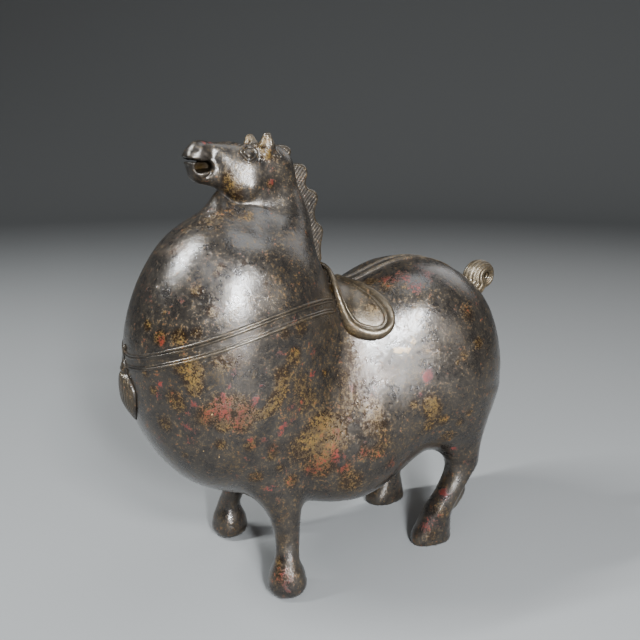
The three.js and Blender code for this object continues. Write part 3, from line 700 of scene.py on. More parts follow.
# the mane: a thin crest with four tufts
MANE_FOOT = [[-36.5, 189], [-30, 181], [-24.5, 171], [-20.5, 161], [-17, 152], [-11, 144]]
MANE_TUFTS = [[[-33.6, 197.4], [-31.4, 199.3], [-28.8, 200.3], [-25.9, 200.2], [-23.5, 199.2], [-22.2, 197.3], [-23.0, 195.3], [-23.2, 193.4], [-21.9, 192.2]],
              [[-19.3, 192.2], [-17.0, 191.9], [-14.9, 190.4], [-14.3, 187.4], [-15.2, 184.9], [-15.4, 182.8], [-14.4, 181.2]],
              [[-12.4, 180.6], [-10.4, 179.5], [-9.1, 177.0], [-9.5, 174.1], [-10.7, 171.6], [-10.9, 168.6], [-10.2, 166.4]],
              [[-9.0, 165.2], [-7.3, 163.8], [-6.4, 161.3], [-6.9, 158.6], [-7.7, 155.0], [-7.7, 151.2], [-7.2, 147.6]]]


def rounded(poly, times=1):
    for _ in range(times):
        n = len(poly)
        out = []
        for i in range(n):
            p, q = poly[i], poly[(i + 1) % n]
            out += [p * 0.75 + q * 0.25, p * 0.25 + q * 0.75]
        poly = A(out)
    return poly


CREST = rounded(A(MANE_FOOT + [p for t in MANE_TUFTS[::-1] for p in t[::-1]], float))


MANE_CHART = charted(CREST, [-42.0, 138.0], [-2.0, 206.0])


def mane_field(p):
    sh = p.shape[:-1]
    p = p.reshape(-1, 3)
    d = MANE_CHART(p[:, 1:])
    # hair lines slanting back and up, cut in both faces and round the edge
    along_hair = (p[:, 1] + 20) * 0.80 - (p[:, 2] - 175) * 0.60
    warp = 0.6 * noise(p * [0, 1, 1], 5.0, 21)
    hair = np.abs(((along_hair + warp) / 1.35) % 1.0 - 0.5) * 2
    cut = step(0.62, 0.0, hair)
    half = 2.1 - 0.12 * cut * step(0.2, 1.0, d)
    w = np.clip(1 - d / 1.7, 0, 1)
    half = half * np.sqrt(np.clip(1 - w * w, 0.02, 1))
    f = np.abs(p[:, 0]) - half
    f = np.maximum(f * 0.8, 0.10 * cut * step(1.2, 0.2, d) - d)
    return f.reshape(sh)


def mane():
    return surface_net(mane_field, [-4.2, -39, 142], [4.2, -5, 203], 0.36, relax=2)


# the tail: rises from the rump, curls over and down, and its tip closes on the root
def limb_mesh(path, across, up, n, m, ribs=0, depth=0.0, tip=None):
    t = np.linspace(0, 1, n)
    P = path(t)
    Tn = unit(path(np.minimum(t + 0.004, 1)) - path(np.maximum(t - 0.004, 0)))
    X = np.tile([1.0, 0, 0], (n, 1))
    X = unit(X - Tn * (X * Tn).sum(1, keepdims=True))
    Y = unit(np.cross(Tn, X))
    a = np.linspace(0, 2 * np.pi, m, endpoint=False)
    g = 1.0
    if ribs:
        r = np.abs((a * ribs / (2 * np.pi)) % 1.0 - 0.5) * 2
        g = 1 - depth * step(0.55, 0.0, 1 - r)
    ca, sa = np.cos(a) * g, np.sin(a) * g
    R = P[:, None] + X[:, None] * (ca[None] * across(t)[:, None])[..., None] + Y[:, None] * (sa[None] * up(t)[:, None])[..., None]
    return tube_mesh(R)


TAIL = dict(y=89.4, z=133.2, root=[74, 118], angles=[222, 180, 90, 0, -90, -135], sweep=[6.6, 5.6, 3.9, 3.4, 4.6, 5.2],
            half=[6.6, 5.4, 3.4, 2.6, 3.4, 3.2], across=[6.4, 5.8, 5.4, 4.6, 4.2, 3.6])


def tail():
    T = TAIL
    k = 0.2 + 0.8 * np.arange(6) / 5

    def path(t):
        tt = np.maximum(t, 0.2)
        a = along(tt, k, T['angles']) / 180 * np.pi
        r = along(tt, k, T['sweep'])
        on = np.stack([0 * t, T['y'] + r * np.cos(a), T['z'] + r * np.sin(a)], -1)
        a0 = T['angles'][0] / 180 * np.pi
        p0 = A([0, T['y'] + T['sweep'][0] * np.cos(a0), T['z'] + T['sweep'][0] * np.sin(a0)])
        root = A([0, *T['root']], float)
        return np.where((t < 0.2)[:, None], root + (p0 - root) * (t / 0.2)[:, None], on)

    def end(t):
        return np.where(t > 0.93, np.sqrt(np.clip(1 - ((t - 0.93) / 0.072) ** 2, 0.002, 1)), 1.0)

    return limb_mesh(path, lambda t: along(np.maximum(t, 0.2), k, T['across']) * end(t),
                     lambda t: along(np.maximum(t, 0.2), k, T['half']) * end(t), 120, 84, ribs=14, depth=0.11)


# the tassel on the chest: a short cap under the strap and a broad teardrop of strands, all lying on the skin
TASSEL_Z = [118.6, 118.0, 116.6, 114.6, 113.0, 112.4, 111.6, 110.6, 109.3, 107.6, 106.7, 105.6, 104.0, 101.9, 99.6, 97.4, 94.8, 91.8, 88.8, 86.4, 84.9, 84.3]
TASSEL_W = [0.6, 1.2, 1.5, 1.5, 1.2, 1.2, 2.3, 3.2, 4.1, 4.9, 5.1, 6.9, 8.7, 10.4, 11.2, 11.2, 10.3, 8.9, 6.6, 4.0, 1.8, 0.5]
TASSEL_H = [0.2, 0.9, 1.0, 0.95, 0.6, 0.55, 0.9, 1.3, 1.6, 1.9, 1.3, 2.1, 2.5, 2.8, 3.0, 3.1, 3.2, 2.7, 1.9, 1.1, 0.5, 0.1]


def tassel():
    n, m = 200, 120
    z = np.linspace(TASSEL_Z[0], TASSEL_Z[-1], n)
    k = [-v for v in TASSEL_Z]
    w, h = along(-z, k, TASSEL_W), along(-z, k, TASSEL_H)
    line = cast_out(np.stack([0 * z, 0 * z - 50, z], -1), np.tile([0.0, -1.0, 0.0], (n, 1)))
    u = np.sin(np.linspace(-1, 1, m) * np.pi / 2)
    P = line[:, None] + A([1.0, 0, 0]) * (w[:, None] * u[None])[..., None]
    P = on_skin(trunk, P, 3)
    N = normal(trunk, P)
    up = np.clip(1 - np.abs(u) ** 2.4, 0, 1) ** 0.62
    # strands that fan out under the cap and close again at the tip, and a groove under the cap
    strand = np.abs((np.arcsin(np.clip(u, -1, 1)) / np.pi * 17 + 0.5) % 1.0 - 0.5) * 2
    below = step(106.9, 105.6, z) * step(84.6, 87.5, z)
    deep = 0.42 * below[:, None] * step(0.45, 0.0, strand)[None]
    edge = 0.35 * step(0.80, 0.90, np.abs(u)) * step(0.985, 0.93, np.abs(u))
    H = -0.35 + (h[:, None] + 0.35) * up[None] - deep * (up[None] > 0.35) + (edge[None] * step(107.5, 105.5, z)[:, None] * step(86, 90, z)[:, None])
    H = H + 0.16 * noise(P, 1.8, 31) * (up[None] > 0.3)
    top = P + N * H[..., None]
    low = np.stack([P[:, -1] - N[:, -1] * 1.6, P[:, 0] - N[:, 0] * 1.6], 1)
    return tube_mesh(np.concatenate([top, low], 1))


# ---------------------------------------------------------------- the body and the head, which meet on the neck
SEAM = 173.0


def above(p):
    # height over the seam, a plane that rises a little toward the throat
    return (p[..., 2] - SEAM + 0.2 * (p[..., 1] + 40)) / 1.02


def ramp(x):
    x = np.maximum(x, 0)
    return 0.03 * x * x


def body_part(p):
    s = above(p)
    return smax(body(p) + ramp(s), s - 7, 2.0)


def head_part(p):
    s = above(p)
    return smax(smin(trunk(p), head(p), join(p)) + ramp(-s), -s - 5, 1.0)


# ---------------------------------------------------------------- where the coloured patina lies
# each patch: its place on the left side in mm, its radius, and how strongly it covers
OCHRE = [
    (27, -6, 113, 6.2, 0.45), (31, -4, 101, 6.2, 0.55), (36, -10, 86, 7.1, 0.60), (40, 0, 78, 6.2, 0.55), (41, 4, 68, 5.2, 0.50), (39, -37, 105, 5.8, 0.45),
    (38, -32, 95, 5.9, 0.45), (38, -74, 102, 6.4, 0.30), (32, -83, 118, 4.5, 0.35), (33, -9, 95, 7.2, 0.50), (37, 0, 88, 6.2, 0.40), (30, -13, 102, 5.1, 0.30),
    (19, 6, 131, 4.2, 0.40), (41, -55, 89, 8.5, 0.35), (38, -37, 73, 9.9, 0.40), (38, -15, 78, 10.1, 0.40), (39, -37, 96, 7.7, 0.30), (40, 5, 80, 8.3, 0.30),
    (41, -64, 103, 6.4, 0.30), (43, 27, 87, 8.4, 0.25), (39, 23, 110, 7.3, 0.20), (34, -79, 93, 6.4, 0.30), (32, -76, 142, 7.1, 0.20), (41, -60, 126, 5.4, 0.20),
    (10, -66, 170, 4.7, 0.50), (11, -58, 173, 4.8, 0.50), (14, -49, 171, 3.4, 0.80), (7, -74, 166, 3.8, 0.50), (12, -80, 159, 3.7, 0.70), (17, -77, 160, 2.3, 0.60),
    (31, -69, 151, 1.6, 1.10), (31, -67, 154, 1.8, 0.90), (30, -77, 145, 2.2, 0.90), (26, -79, 149, 1.3, 0.60), (33, -58, 155, 1.8, 0.50), (37, -51, 147, 1.4, 0.60),
    (35, -72, 137, 2.7, 0.80), (17, -94, 130, 2.3, 1.00), (23, -89, 136, 1.1, 0.80), (24, -91, 126, 3.2, 1.00), (30, -85, 127, 3.6, 0.95), (34, -79, 129, 2.7, 0.70),
    (38, -36, 127, 4.3, 0.60), (40, -44, 126, 2.8, 0.60), (17, -23, 163, 2.5, 0.50), (18, -96, 110, 1.9, 0.70), (21, -94, 104, 2.3, 0.80), (34, -81, 115, 3.6, 1.10),
    (34, -81, 111, 5.0, 1.15), (34, -81, 106, 2.7, 1.10), (30, -86, 114, 2.3, 0.70), (29, -88, 102, 4.1, 0.70), (30, -86, 99, 3.2, 0.60), (24, -91, 90, 3.7, 0.80),
    (27, -84, 76, 1.9, 0.60), (36, -77, 95, 4.1, 0.80), (38, -72, 99, 4.1, 0.70), (40, -68, 99, 3.7, 0.70), (39, -70, 94, 4.6, 0.80), (41, -62, 95, 4.6, 0.85),
    (40, -64, 90, 3.7, 0.80), (38, -71, 90, 2.8, 1.00), (41, -64, 103, 2.8, 0.70), (38, -71, 117, 4.1, 0.80), (40, -65, 118, 4.1, 0.60), (41, -59, 110, 1.1, 1.10),
    (40, -40, 116, 4.2, 0.90), (41, -46, 109, 4.2, 0.90), (41, -47, 102, 3.8, 0.90), (41, -50, 98, 3.8, 0.90), (41, -54, 94, 3.7, 0.90), (39, -60, 80, 2.8, 0.80),
    (39, -50, 77, 2.9, 0.60), (38, -50, 73, 2.4, 0.80), (37, -72, 82, 2.8, 0.80), (34, -56, 63, 3.4, 0.90), (36, -40, 58, 3.5, 0.90), (37, -46, 66, 2.0, 0.70),
    (37, -30, 64, 5.0, 0.70), (39, -34, 75, 6.9, 0.60), (38, -26, 80, 8.0, 0.60), (33, -22, 104, 2.0, 0.80), (22, -7, 125, 2.6, 1.30), (24, -5, 121, 3.1, 1.20),
    (25, -3, 118, 2.6, 0.90), (25, 6, 126, 3.7, 1.00), (27, -3, 114, 3.1, 0.50), (29, -3, 108, 5.2, 0.60), (35, 7, 99, 6.2, 0.60), (40, 26, 110, 2.1, 0.90),
    (42, 31, 109, 1.6, 0.80), (41, 19, 85, 2.1, 1.00), (43, 27, 85, 3.7, 1.10), (43, 29, 81, 4.2, 1.20), (43, 35, 75, 3.2, 1.00), (42, 28, 73, 3.7, 0.80),
    (39, 41, 64, 4.4, 0.80), (42, 54, 110, 3.2, 0.70), (44, 44, 106, 3.2, 0.60), (45, 40, 103, 1.3, 1.10), (44, 49, 77, 2.2, 0.70), (43, 45, 72, 2.7, 0.60),
    (38, 50, 124, 4.8, 0.50), (38, 0, 85, 5.2, 0.40), (38, -26, 81, 7.0, 0.95), (38, -18, 78, 5.1, 0.90), (39, -23, 72, 7.0, 0.95), (40, -7, 67, 4.1, 0.70),
    (41, 0, 65, 4.2, 0.70), (39, -16, 61, 4.1, 0.70), (38, -26, 62, 6.1, 0.95), (38, -12, 53, 6.2, 0.90), (39, 9, 57, 3.7, 0.60), (17, 19, 138, 4.8, 0.60),
    (20, 16, 136, 3.2, 0.70), (11, 13, 138, 3.3, 0.90), (24, 23, 137, 3.2, 0.50), (19, -12, 138, 2.1, 0.90), (25, 6, 126, 3.1, 0.90), (10, -38, 196, 2.4, 1.60),
    (9, -39, 198, 1.9, 0.90), (-6, -41, 202, 2.5, 1.10), (8, -38, 202, 2.4, 0.90), (5, -40, 200, 2.0, 0.80), (9, -34, 194, 2.0, 0.50), (8, -55, 186, 2.9, 1.00),
    (10, -52, 184, 2.9, 1.00), (6, -56, 182, 1.9, 0.90), (8, -54, 189, 1.9, 0.40), (1, -64, 191, 1.9, 1.20), (1, -67, 191, 1.4, 1.00), (11, -37, 184, 2.0, 1.00),
    (9, -52, 180, 3.9, 0.70), (5, -56, 198, 1.4, 0.50), (36, -44, 13, 6.2, 0.60), (31, -46, 18, 2.6, 0.90), (32, -43, 28, 4.1, 0.40), (31, 45, 19, 4.7, 0.50),
    (30, 40, 7, 4.7, 0.50),
]
FILM = [
    (-1383, 528, -968, 33.4, 0.60), (22, 51, 32, 7.1, 0.60), (36, -44, 148, 11.1, 0.50), (23, -36, 163, 6.7, 0.50), (35, -9, 89, 7.2, 0.90), (38, 0, 85, 6.2, 0.80),
    (35, -21, 92, 8.0, 0.50), (33, -45, 42, 5.1, 0.60), (39, -37, 96, 9.7, 0.40), (34, -67, 69, 6.7, 0.50), (35, -79, 110, 9.1, 0.30), (45, 39, 85, 10.7, 0.30),
]
CLEAN = [
    (6, -66, 195, 4.2, 0.80), (5, -59, 196, 3.8, 0.80), (10, -50, 191, 3.3, 0.80), (11, -48, 186, 2.9, 0.70), (9, -46, 197, 2.4, 0.60), (11, -41, 190, 2.4, 0.50),
    (5, -64, 188, 2.4, 0.50), (41, -53, 88, 4.2, 1.00), (41, -56, 98, 1.9, 0.80), (41, -62, 107, 4.1, 1.00), (38, -73, 111, 4.1, 1.00), (39, -11, 78, 2.5, 1.60),
    (40, -11, 69, 2.0, 1.60), (39, -17, 63, 1.5, 1.60), (37, -8, 84, 2.6, 1.00), (38, -22, 76, 1.5, 1.20), (39, 9, 87, 6.2, 0.60),
]
CREAM = [
    (34, -80, 104, 0.6, 1.50), (35, -79, 102, 0.6, 1.50), (36, -78, 100, 0.6, 1.50), (36, -76, 98, 0.6, 1.50), (37, -75, 96, 0.6, 1.50), (37, -73, 93, 0.6, 1.50),
    (38, -72, 91, 0.6, 1.40), (38, -71, 88, 0.6, 1.30), (33, -78, 79, 0.6, 1.50), (34, -76, 78, 0.6, 1.40), (34, -74, 77, 0.6, 1.40), (35, -72, 76, 0.6, 1.40),
    (35, -70, 74, 0.6, 1.30), (35, 13, 110, 1.9, 1.20), (36, 15, 110, 1.9, 1.20), (37, 18, 110, 1.9, 1.20), (37, 21, 114, 2.1, 0.90), (41, 25, 103, 1.0, 1.00),
]
RED = [
    (12, -80, 159, 2.8, 0.40), (37, -69, 138, 1.8, 0.80), (24, -90, 125, 2.3, 1.10), (39, -39, 132, 1.4, 0.60), (17, -23, 163, 1.5, 0.50), (24, -92, 107, 1.8, 1.00),
    (23, -92, 102, 1.9, 0.80), (29, -88, 102, 3.2, 0.40), (34, -81, 100, 1.8, 0.90), (32, -83, 96, 2.3, 0.60), (29, -86, 93, 1.8, 0.60), (31, -84, 90, 1.9, 1.00),
    (33, -81, 88, 1.4, 1.10), (31, -83, 83, 2.3, 0.80), (19, -92, 81, 1.9, 0.60), (36, -77, 95, 4.1, 0.75), (38, -72, 99, 4.1, 0.75), (40, -68, 99, 3.7, 0.60),
    (39, -70, 94, 4.6, 0.75), (41, -62, 95, 4.6, 0.70), (40, -64, 90, 3.3, 0.50), (41, -64, 103, 2.3, 0.60), (41, -58, 100, 2.3, 0.90), (40, -68, 107, 1.3, 1.10),
    (39, -71, 104, 1.3, 0.90), (40, -66, 113, 1.8, 0.70), (42, -54, 112, 1.6, 1.00), (42, -55, 106, 1.4, 0.90), (41, -47, 118, 2.3, 0.70), (41, -46, 109, 3.3, 0.30),
    (35, -29, 106, 1.5, 0.90), (40, -41, 94, 1.9, 1.10), (39, -38, 92, 1.3, 1.10), (39, -36, 95, 1.5, 0.80), (40, -45, 87, 1.7, 1.30), (40, -47, 84, 1.9, 1.10),
    (40, -41, 88, 1.4, 0.90), (39, -60, 80, 2.4, 0.40), (40, -55, 81, 2.8, 0.70), (40, -60, 83, 1.1, 0.90), (37, -62, 74, 1.9, 0.70), (39, -50, 77, 2.9, 0.80),
    (34, -56, 63, 2.4, 0.40), (34, -49, 56, 2.0, 1.00), (36, -40, 58, 3.0, 0.60), (37, -30, 64, 5.0, 0.65), (36, -29, 115, 1.9, 0.80), (36, -30, 105, 1.5, 1.00),
    (22, -3, 125, 1.6, 1.30), (29, 10, 123, 2.1, 0.50), (42, 26, 98, 2.9, 1.90), (42, 22, 89, 1.5, 1.10), (34, 49, 54, 2.3, 1.20), (33, 59, 45, 1.7, 1.00),
    (29, 48, 28, 2.3, 1.30), (38, 50, 124, 3.2, 0.35), (33, -8, 95, 2.6, 0.80), (35, 0, 93, 2.1, 0.60), (37, -12, 82, 1.5, 0.80), (38, -26, 81, 5.0, 0.35),
    (38, -18, 78, 4.0, 0.50), (39, -23, 72, 6.0, 0.50), (39, -19, 66, 4.1, 0.90), (40, -7, 67, 4.1, 0.65), (41, 0, 65, 4.2, 0.55), (39, -16, 61, 4.1, 0.80),
    (38, -26, 62, 5.1, 0.50), (38, -12, 53, 5.2, 0.35), (39, 9, 57, 3.7, 0.60), (20, 26, 140, 4.8, 0.80), (27, 28, 137, 3.7, 0.95), (24, 36, 141, 3.8, 0.80),
    (17, 19, 138, 4.8, 0.70), (17, 38, 144, 3.3, 0.60), (16, 6, 133, 2.1, 0.40), (3, -63, 201, 1.3, 1.70), (2, -60, 201, 1.0, 1.60), (11, -36, 185, 1.5, 1.20),
    (11, -39, 181, 2.0, 0.60), (11, -37, 184, 1.6, 0.70), (36, -44, 13, 5.1, 0.60), (38, -43, 7, 3.1, 0.60), (30, 42, 15, 4.7, 0.70), (28, 38, 10, 2.9, 0.80),
    (31, 48, 28, 2.9, 0.80),
]


def cover(p, patches, far=1.0, seed=1):
    # how much of one kind of patina lies at each point; the far side carries a looser copy
    out = np.zeros(len(p))
    c = A([q[:3] for q in patches], float)
    r = A([q[3] for q in patches], float)
    w = A([q[4] for q in patches], float)
    k = np.arange(len(patches))
    shift = np.stack([0 * k, 9 * np.sin(k * 2.3 + seed), 9 * np.sin(k * 3.7 + 2 * seed)], -1)
    for side in (1, -1):
        q = p if side == 1 else p * [-1, 1, 1]
        cc = c if side == 1 else c + shift
        for i in range(len(patches)):
            near = np.nonzero((np.abs(q - cc[i]) < 1.7 * r[i]).all(1))[0]
            if len(near):
                d = np.linalg.norm(q[near] - cc[i], axis=1) / r[i]
                v = w[i] * step(1.6, 0.25, d) * (far if side == -1 else 1.0)
                out[near] = np.where(np.abs(v) > 0, out[near] + v * (1 - 0.45 * np.clip(out[near], 0, 1)), out[near])
    return out


# ---------------------------------------------------------------- Blender pieces
def srgb(r, g, b):
    return tuple(((v / 255 + 0.055) / 1.055) ** 2.4 if v / 255 > 0.04045 else v / 255 / 12.92 for v in (r, g, b)) + (1.0,)


def piece(name, V, Q, T=None, proud=None, worn=0.0, rough_skin=0.1):
    # the casting's skin is a little uneven everywhere
    T = np.zeros((0, 3), np.int64) if T is None else T
    Q, T = outward(V, Q, T)
    tri = np.concatenate([Q[:, [0, 1, 2]], Q[:, [0, 2, 3]], T])
    fn = np.cross(V[tri[:, 1]] - V[tri[:, 0]], V[tri[:, 2]] - V[tri[:, 0]])
    vn = np.zeros_like(V)
    for k in range(3):
        np.add.at(vn, tri[:, k], fn)
    vn = unit(vn)
    d = rough_skin * (1.5 * noise(V, 9.0, 11) + 0.9 * noise(V, 4.0, 12) + 0.5 * noise(V, 1.9, 13))
    d = d * step(0.0, 2.0, V[:, 2])
    W = V + vn * d[:, None]
    me = bpy.data.meshes.new(name)
    rows = ((W + [0, Y0, 0]) * 0.001).astype(np.float32)
    me.vertices.add(len(rows))
    me.vertices.foreach_set("co", rows.ravel())
    loops = np.concatenate([Q.ravel(), T.ravel()]).astype(np.int32)
    me.loops.add(len(loops))
    me.loops.foreach_set("vertex_index", loops)
    start = np.concatenate([np.arange(len(Q)) * 4, len(Q) * 4 + np.arange(len(T)) * 3]).astype(np.int32)
    me.polygons.add(len(start))
    me.polygons.foreach_set("loop_start", start)
    me.polygons.foreach_set("use_smooth", np.ones(len(start), bool))
    me.update(calc_edges=True)
    me.validate()
    high = np.full(len(V), 0.5) if proud is None else proud
    clean = cover(V, CLEAN, 0.6, 4)
    facts = dict(ochre=cover(V, OCHRE, 0.75, 1) - 0.9 * clean, red=cover(V, RED, 0.6, 2) - 0.9 * clean,
                 film=cover(V, FILM, 0.8, 3), cream=cover(V, CREAM, 0.0, 5), high=high, worn=np.full(len(V), float(worn)))
    for key, v in facts.items():
        at = me.attributes.new(key, "FLOAT", "POINT")
        at.data.foreach_set("value", np.ascontiguousarray(v, dtype=np.float32))
    ob = bpy.data.objects.new(name, me)
    bpy.context.scene.collection.objects.link(ob)
    me.materials.append(BRONZE)
    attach(ob, "root")
    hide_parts("bronze_horse")
    return ob


def bronze_material():
    m = bpy.data.materials.new("bronze_patina")
    m.use_nodes = True
    nt = m.node_tree
    nt.nodes.clear()
    L = nt.links.new

    def node(kind, **kw):
        n = nt.nodes.new(kind)
        for k, v in kw.items():
            setattr(n, k, v)
        return n

    def put(sock, v):
        if hasattr(v, "links"):
            L(v, sock)
        else:
            sock.default_value = v

    def math2(op, a, b=0.0, clamp=False):
        n = node("ShaderNodeMath", operation=op, use_clamp=clamp)
        put(n.inputs[0], a)
        put(n.inputs[1], b)
        return n.outputs[0]

    def soft(x, lo, hi, a=0.0, b=1.0):
        n = node("ShaderNodeMapRange", interpolation_type="SMOOTHSTEP")
        put(n.inputs["Value"], x)
        for k, v in (("From Min", lo), ("From Max", hi), ("To Min", a), ("To Max", b)):
            put(n.inputs[k], v)
        return n.outputs["Result"]

    def mix(f, a, b):
        n = node("ShaderNodeMix", data_type="RGBA")
        put(n.inputs[0], f)
        put(n.inputs[6], a)
        put(n.inputs[7], b)
        return n.outputs[2]

    def fact(name):
        return node("ShaderNodeAttribute", attribute_name=name).outputs["Fac"]

    co = node("ShaderNodeTexCoord").outputs["Object"]

    def grain(size_mm, detail, rough, seed, warp=0.0):
        mp = node("ShaderNodeMapping")
        L(co, mp.inputs["Vector"])
        mp.inputs["Location"].default_value = (seed * 1.7, seed * 2.9, seed * 0.7)
        n = node("ShaderNodeTexNoise")
        L(mp.outputs[0], n.inputs["Vector"])
        n.inputs["Scale"].default_value = 1000.0 / size_mm
        n.inputs["Detail"].default_value = detail
        n.inputs["Roughness"].default_value = rough
        n.inputs["Distortion"].default_value = warp
        return n.outputs["Fac"]

    broad = grain(26, 3, 0.5, 1)
    mid = grain(7.5, 5, 0.62, 2, 0.15)
    fine = grain(1.7, 4, 0.7, 3)
    speck = grain(0.62, 3, 0.7, 4)
    tint = grain(4.2, 4, 0.65, 5)
    ochre, red, film, cream, high, worn = (fact(k) for k in ("ochre", "red", "film", "cream", "high", "worn"))

    def weigh(*terms):
        # 0.5 and the weighted parts of each noise about its middle
        out = 0.5
        for value, k in terms:
            out = math2("ADD", math2("MULTIPLY", math2("SUBTRACT", value, 0.5), k), out)
        return out

    # the brown-black skin
    base = mix(soft(mid, 0.34, 0.66), srgb(43, 39, 36), srgb(58, 52, 46))
    base = mix(math2("MULTIPLY", soft(fine, 0.42, 0.68), 0.40), base, srgb(70, 61, 50))
    base = mix(math2("MULTIPLY", soft(speck, 0.58, 0.74), 0.35), base, srgb(92, 77, 50))
    # round the patches the skin is browner
    near = soft(ochre, 0.05, 0.8, 0.0, 0.8)
    base = mix(near, base, srgb(44, 29, 14))
    # a thin grey-brown film
    f1 = math2("ADD", weigh((fine, 0.8), (speck, 0.6), (broad, 0.5)), math2("MULTIPLY", film, 0.16))
    base = mix(math2("MULTIPLY", soft(f1, 0.54, 0.76), 0.65), base, srgb(78, 61, 37))
    # ochre earth, in grains gathered to patches
    o1 = math2("ADD", weigh((mid, 0.30), (fine, 0.80), (speck, 0.90)), math2("MULTIPLY", math2("MINIMUM", ochre, 1.3), 0.15))
    o1 = soft(o1, 0.585, 0.75)
    earth = mix(soft(tint, 0.38, 0.62), srgb(52, 36, 5), srgb(86, 64, 15))
    col = mix(math2("MULTIPLY", o1, 0.85), base, earth)
    # red oxide
    r1 = math2("ADD", weigh((tint, 0.45), (fine, 0.70), (speck, 0.60)), math2("MULTIPLY", math2("MINIMUM", red, 1.7), 0.17))
    r1 = soft(r1, 0.62, 0.74)
    oxide = mix(soft(mid, 0.35, 0.65), srgb(52, 4, 1), srgb(92, 10, 3))
    col = mix(math2("MULTIPLY", r1, 0.85), col, oxide)
    # worn edges and scars
    w1 = soft(math2("ADD", math2("MULTIPLY", cream, 0.3), math2("MULTIPLY", fine, 0.6)), 0.5, 0.66)
    col = mix(w1, col, srgb(150, 118, 72))
    w2 = math2("MULTIPLY", soft(math2("ADD", math2("MULTIPLY", fine, 0.5), math2("MULTIPLY", high, 0.5)), 0.46, 0.80), worn)
    col = mix(w2, col, srgb(98, 82, 56))
    # painted shade: where the relief is low, in the open mouth and the grooves of the raised work, the colour is
    # darkened to near black as the shade that falls there; the same mask makes these parts rough and without coat
    painted_shade = soft(high, 0.42, 0.10)
    col = mix(math2("MULTIPLY", painted_shade, 0.85), col, srgb(26, 20, 12))

    b = node("ShaderNodeBsdfPrincipled")
    L(col, b.inputs["Base Color"])
    crust = math2("MAXIMUM", math2("MAXIMUM", o1, r1), w1)
    b_metal = math2("MAXIMUM", soft(crust, 0.0, 0.6, 0.74, 0.05), painted_shade)
    L(b_metal, b.inputs["Metallic"])
    r0 = soft(mid, 0.3, 0.7, 0.25, 0.33)
    r0 = math2("ADD", r0, soft(fine, 0.42, 0.70, 0.0, 0.08))
    r0 = math2("ADD", r0, math2("MULTIPLY", crust, 0.14))
    r0 = math2("ADD", r0, math2("MULTIPLY", math2("MAXIMUM", painted_shade, math2("MULTIPLY", worn, 0.4)), 0.35), True)
    L(r0, b.inputs["Roughness"])
    b.inputs["Specular IOR Level"].default_value = 0.36
    L(math2("MULTIPLY", math2("SUBTRACT", 1.0, painted_shade, True), soft(worn, 0.0, 0.3, 0.50, 0.20)), b.inputs["Coat Weight"])
    b.inputs["Coat Roughness"].default_value = 0.14
    b.inputs["Coat IOR"].default_value = 1.5

    # pits, grain and scratches too fine for the mesh
    h = math2("ADD", math2("MULTIPLY", mid, 0.9), math2("MULTIPLY", fine, 0.55))
    h = math2("ADD", h, math2("MULTIPLY", speck, 0.22))
    h = math2("ADD", h, math2("MULTIPLY", crust, 0.10))
    vo = node("ShaderNodeTexVoronoi")
    L(co, vo.inputs["Vector"])
    vo.inputs["Scale"].default_value = 1000.0 / 2.6
    pit = soft(vo.outputs["Distance"], 0.0, 0.22, -0.16, 0.0)
    h = math2("ADD", h, math2("MULTIPLY", pit, soft(mid, 0.45, 0.6)))
    bump = node("ShaderNodeBump")
    bump.inputs["Strength"].default_value = 0.55
    bump.inputs["Distance"].default_value = 0.00035
    L(h, bump.inputs["Height"])
    L(bump.outputs[0], b.inputs["Normal"])
    L(bump.outputs[0], b.inputs["Coat Normal"])
    out = node("ShaderNodeOutputMaterial")
    L(b.outputs[0], out.inputs["Surface"])
    return m


def plain_material(name, color, rough):
    m = bpy.data.materials.new(name)
    m.use_nodes = True
    b = m.node_tree.nodes["Principled BSDF"]
    b.inputs["Base Color"].default_value = color
    b.inputs["Roughness"].default_value = rough
    return m


BRONZE = bronze_material()


def proud_of(V, lo=0.2, hi=1.1):
    # 0 in the grooves of the raised work, 1 on its ridges; the grooves get painted shade and the ridges wear
    return np.clip((trunk(V) - lo) / (hi - lo), 0, 1)


V, Q = surface_net(body_part, [-50, -108, -2], [50, 100, 184], 1.13)
piece("horse_body", V, Q)
V, Q = surface_net(head_part, [-25, -80, 161], [25, -10, 208], 0.32)
high = 0.5 + 0.35 * step(197, 203, V[:, 2]) * step(-44, -40, V[:, 1])
# the open mouth is marked as low relief, so that the material paints shade into it
gape = np.minimum(cap2(V, [-62.9, 191.35], [-65.5, 191.2], 2.15, 2.4), cap2(V, [-66.0, 193.4], [-70.5, 194.0], 0.6, 0.45))
high = high - 0.5 * step(0.7, 0.2, gape) * step(6.0, 3.5, np.abs(V[:, 0]))
piece("horse_head", V, Q, proud=high, worn=0.30, rough_skin=0.04)
V, Q = mane()
piece("mane", V, Q, proud=np.clip(0.2 + (np.abs(V[:, 0]) - 1.6) * 0.7 + step(2.0, 0.4, MANE_CHART(V[:, 1:])), 0, 1), worn=0.2, rough_skin=0.04)
V, Q, T = strap()
piece("chest_strap", V, Q, T, proud=np.maximum(proud_of(V, 0.25, 1.0), 0.36), worn=0.18, rough_skin=0.04)
V, Q, T = croup()
piece("croup_strap", V, Q, T, proud=proud_of(V, 0.1, 0.9), worn=0.25, rough_skin=0.04)
V, Q = saddle()
piece("saddle", V, Q, proud=np.clip(0.2 + proud_of(V, 0.1, 0.9), 0, 1), worn=0.30, rough_skin=0.05)
V, Q, T = tail()
piece("tail", V, Q, T, proud=np.full(len(V), 0.8), worn=0.6, rough_skin=0.05)
V, Q, T = tassel()
piece("tassel", V, Q, T, proud=np.clip(proud_of(V, 0.2, 1.6) + 0.1, 0, 0.8), worn=0.35, rough_skin=0.04)

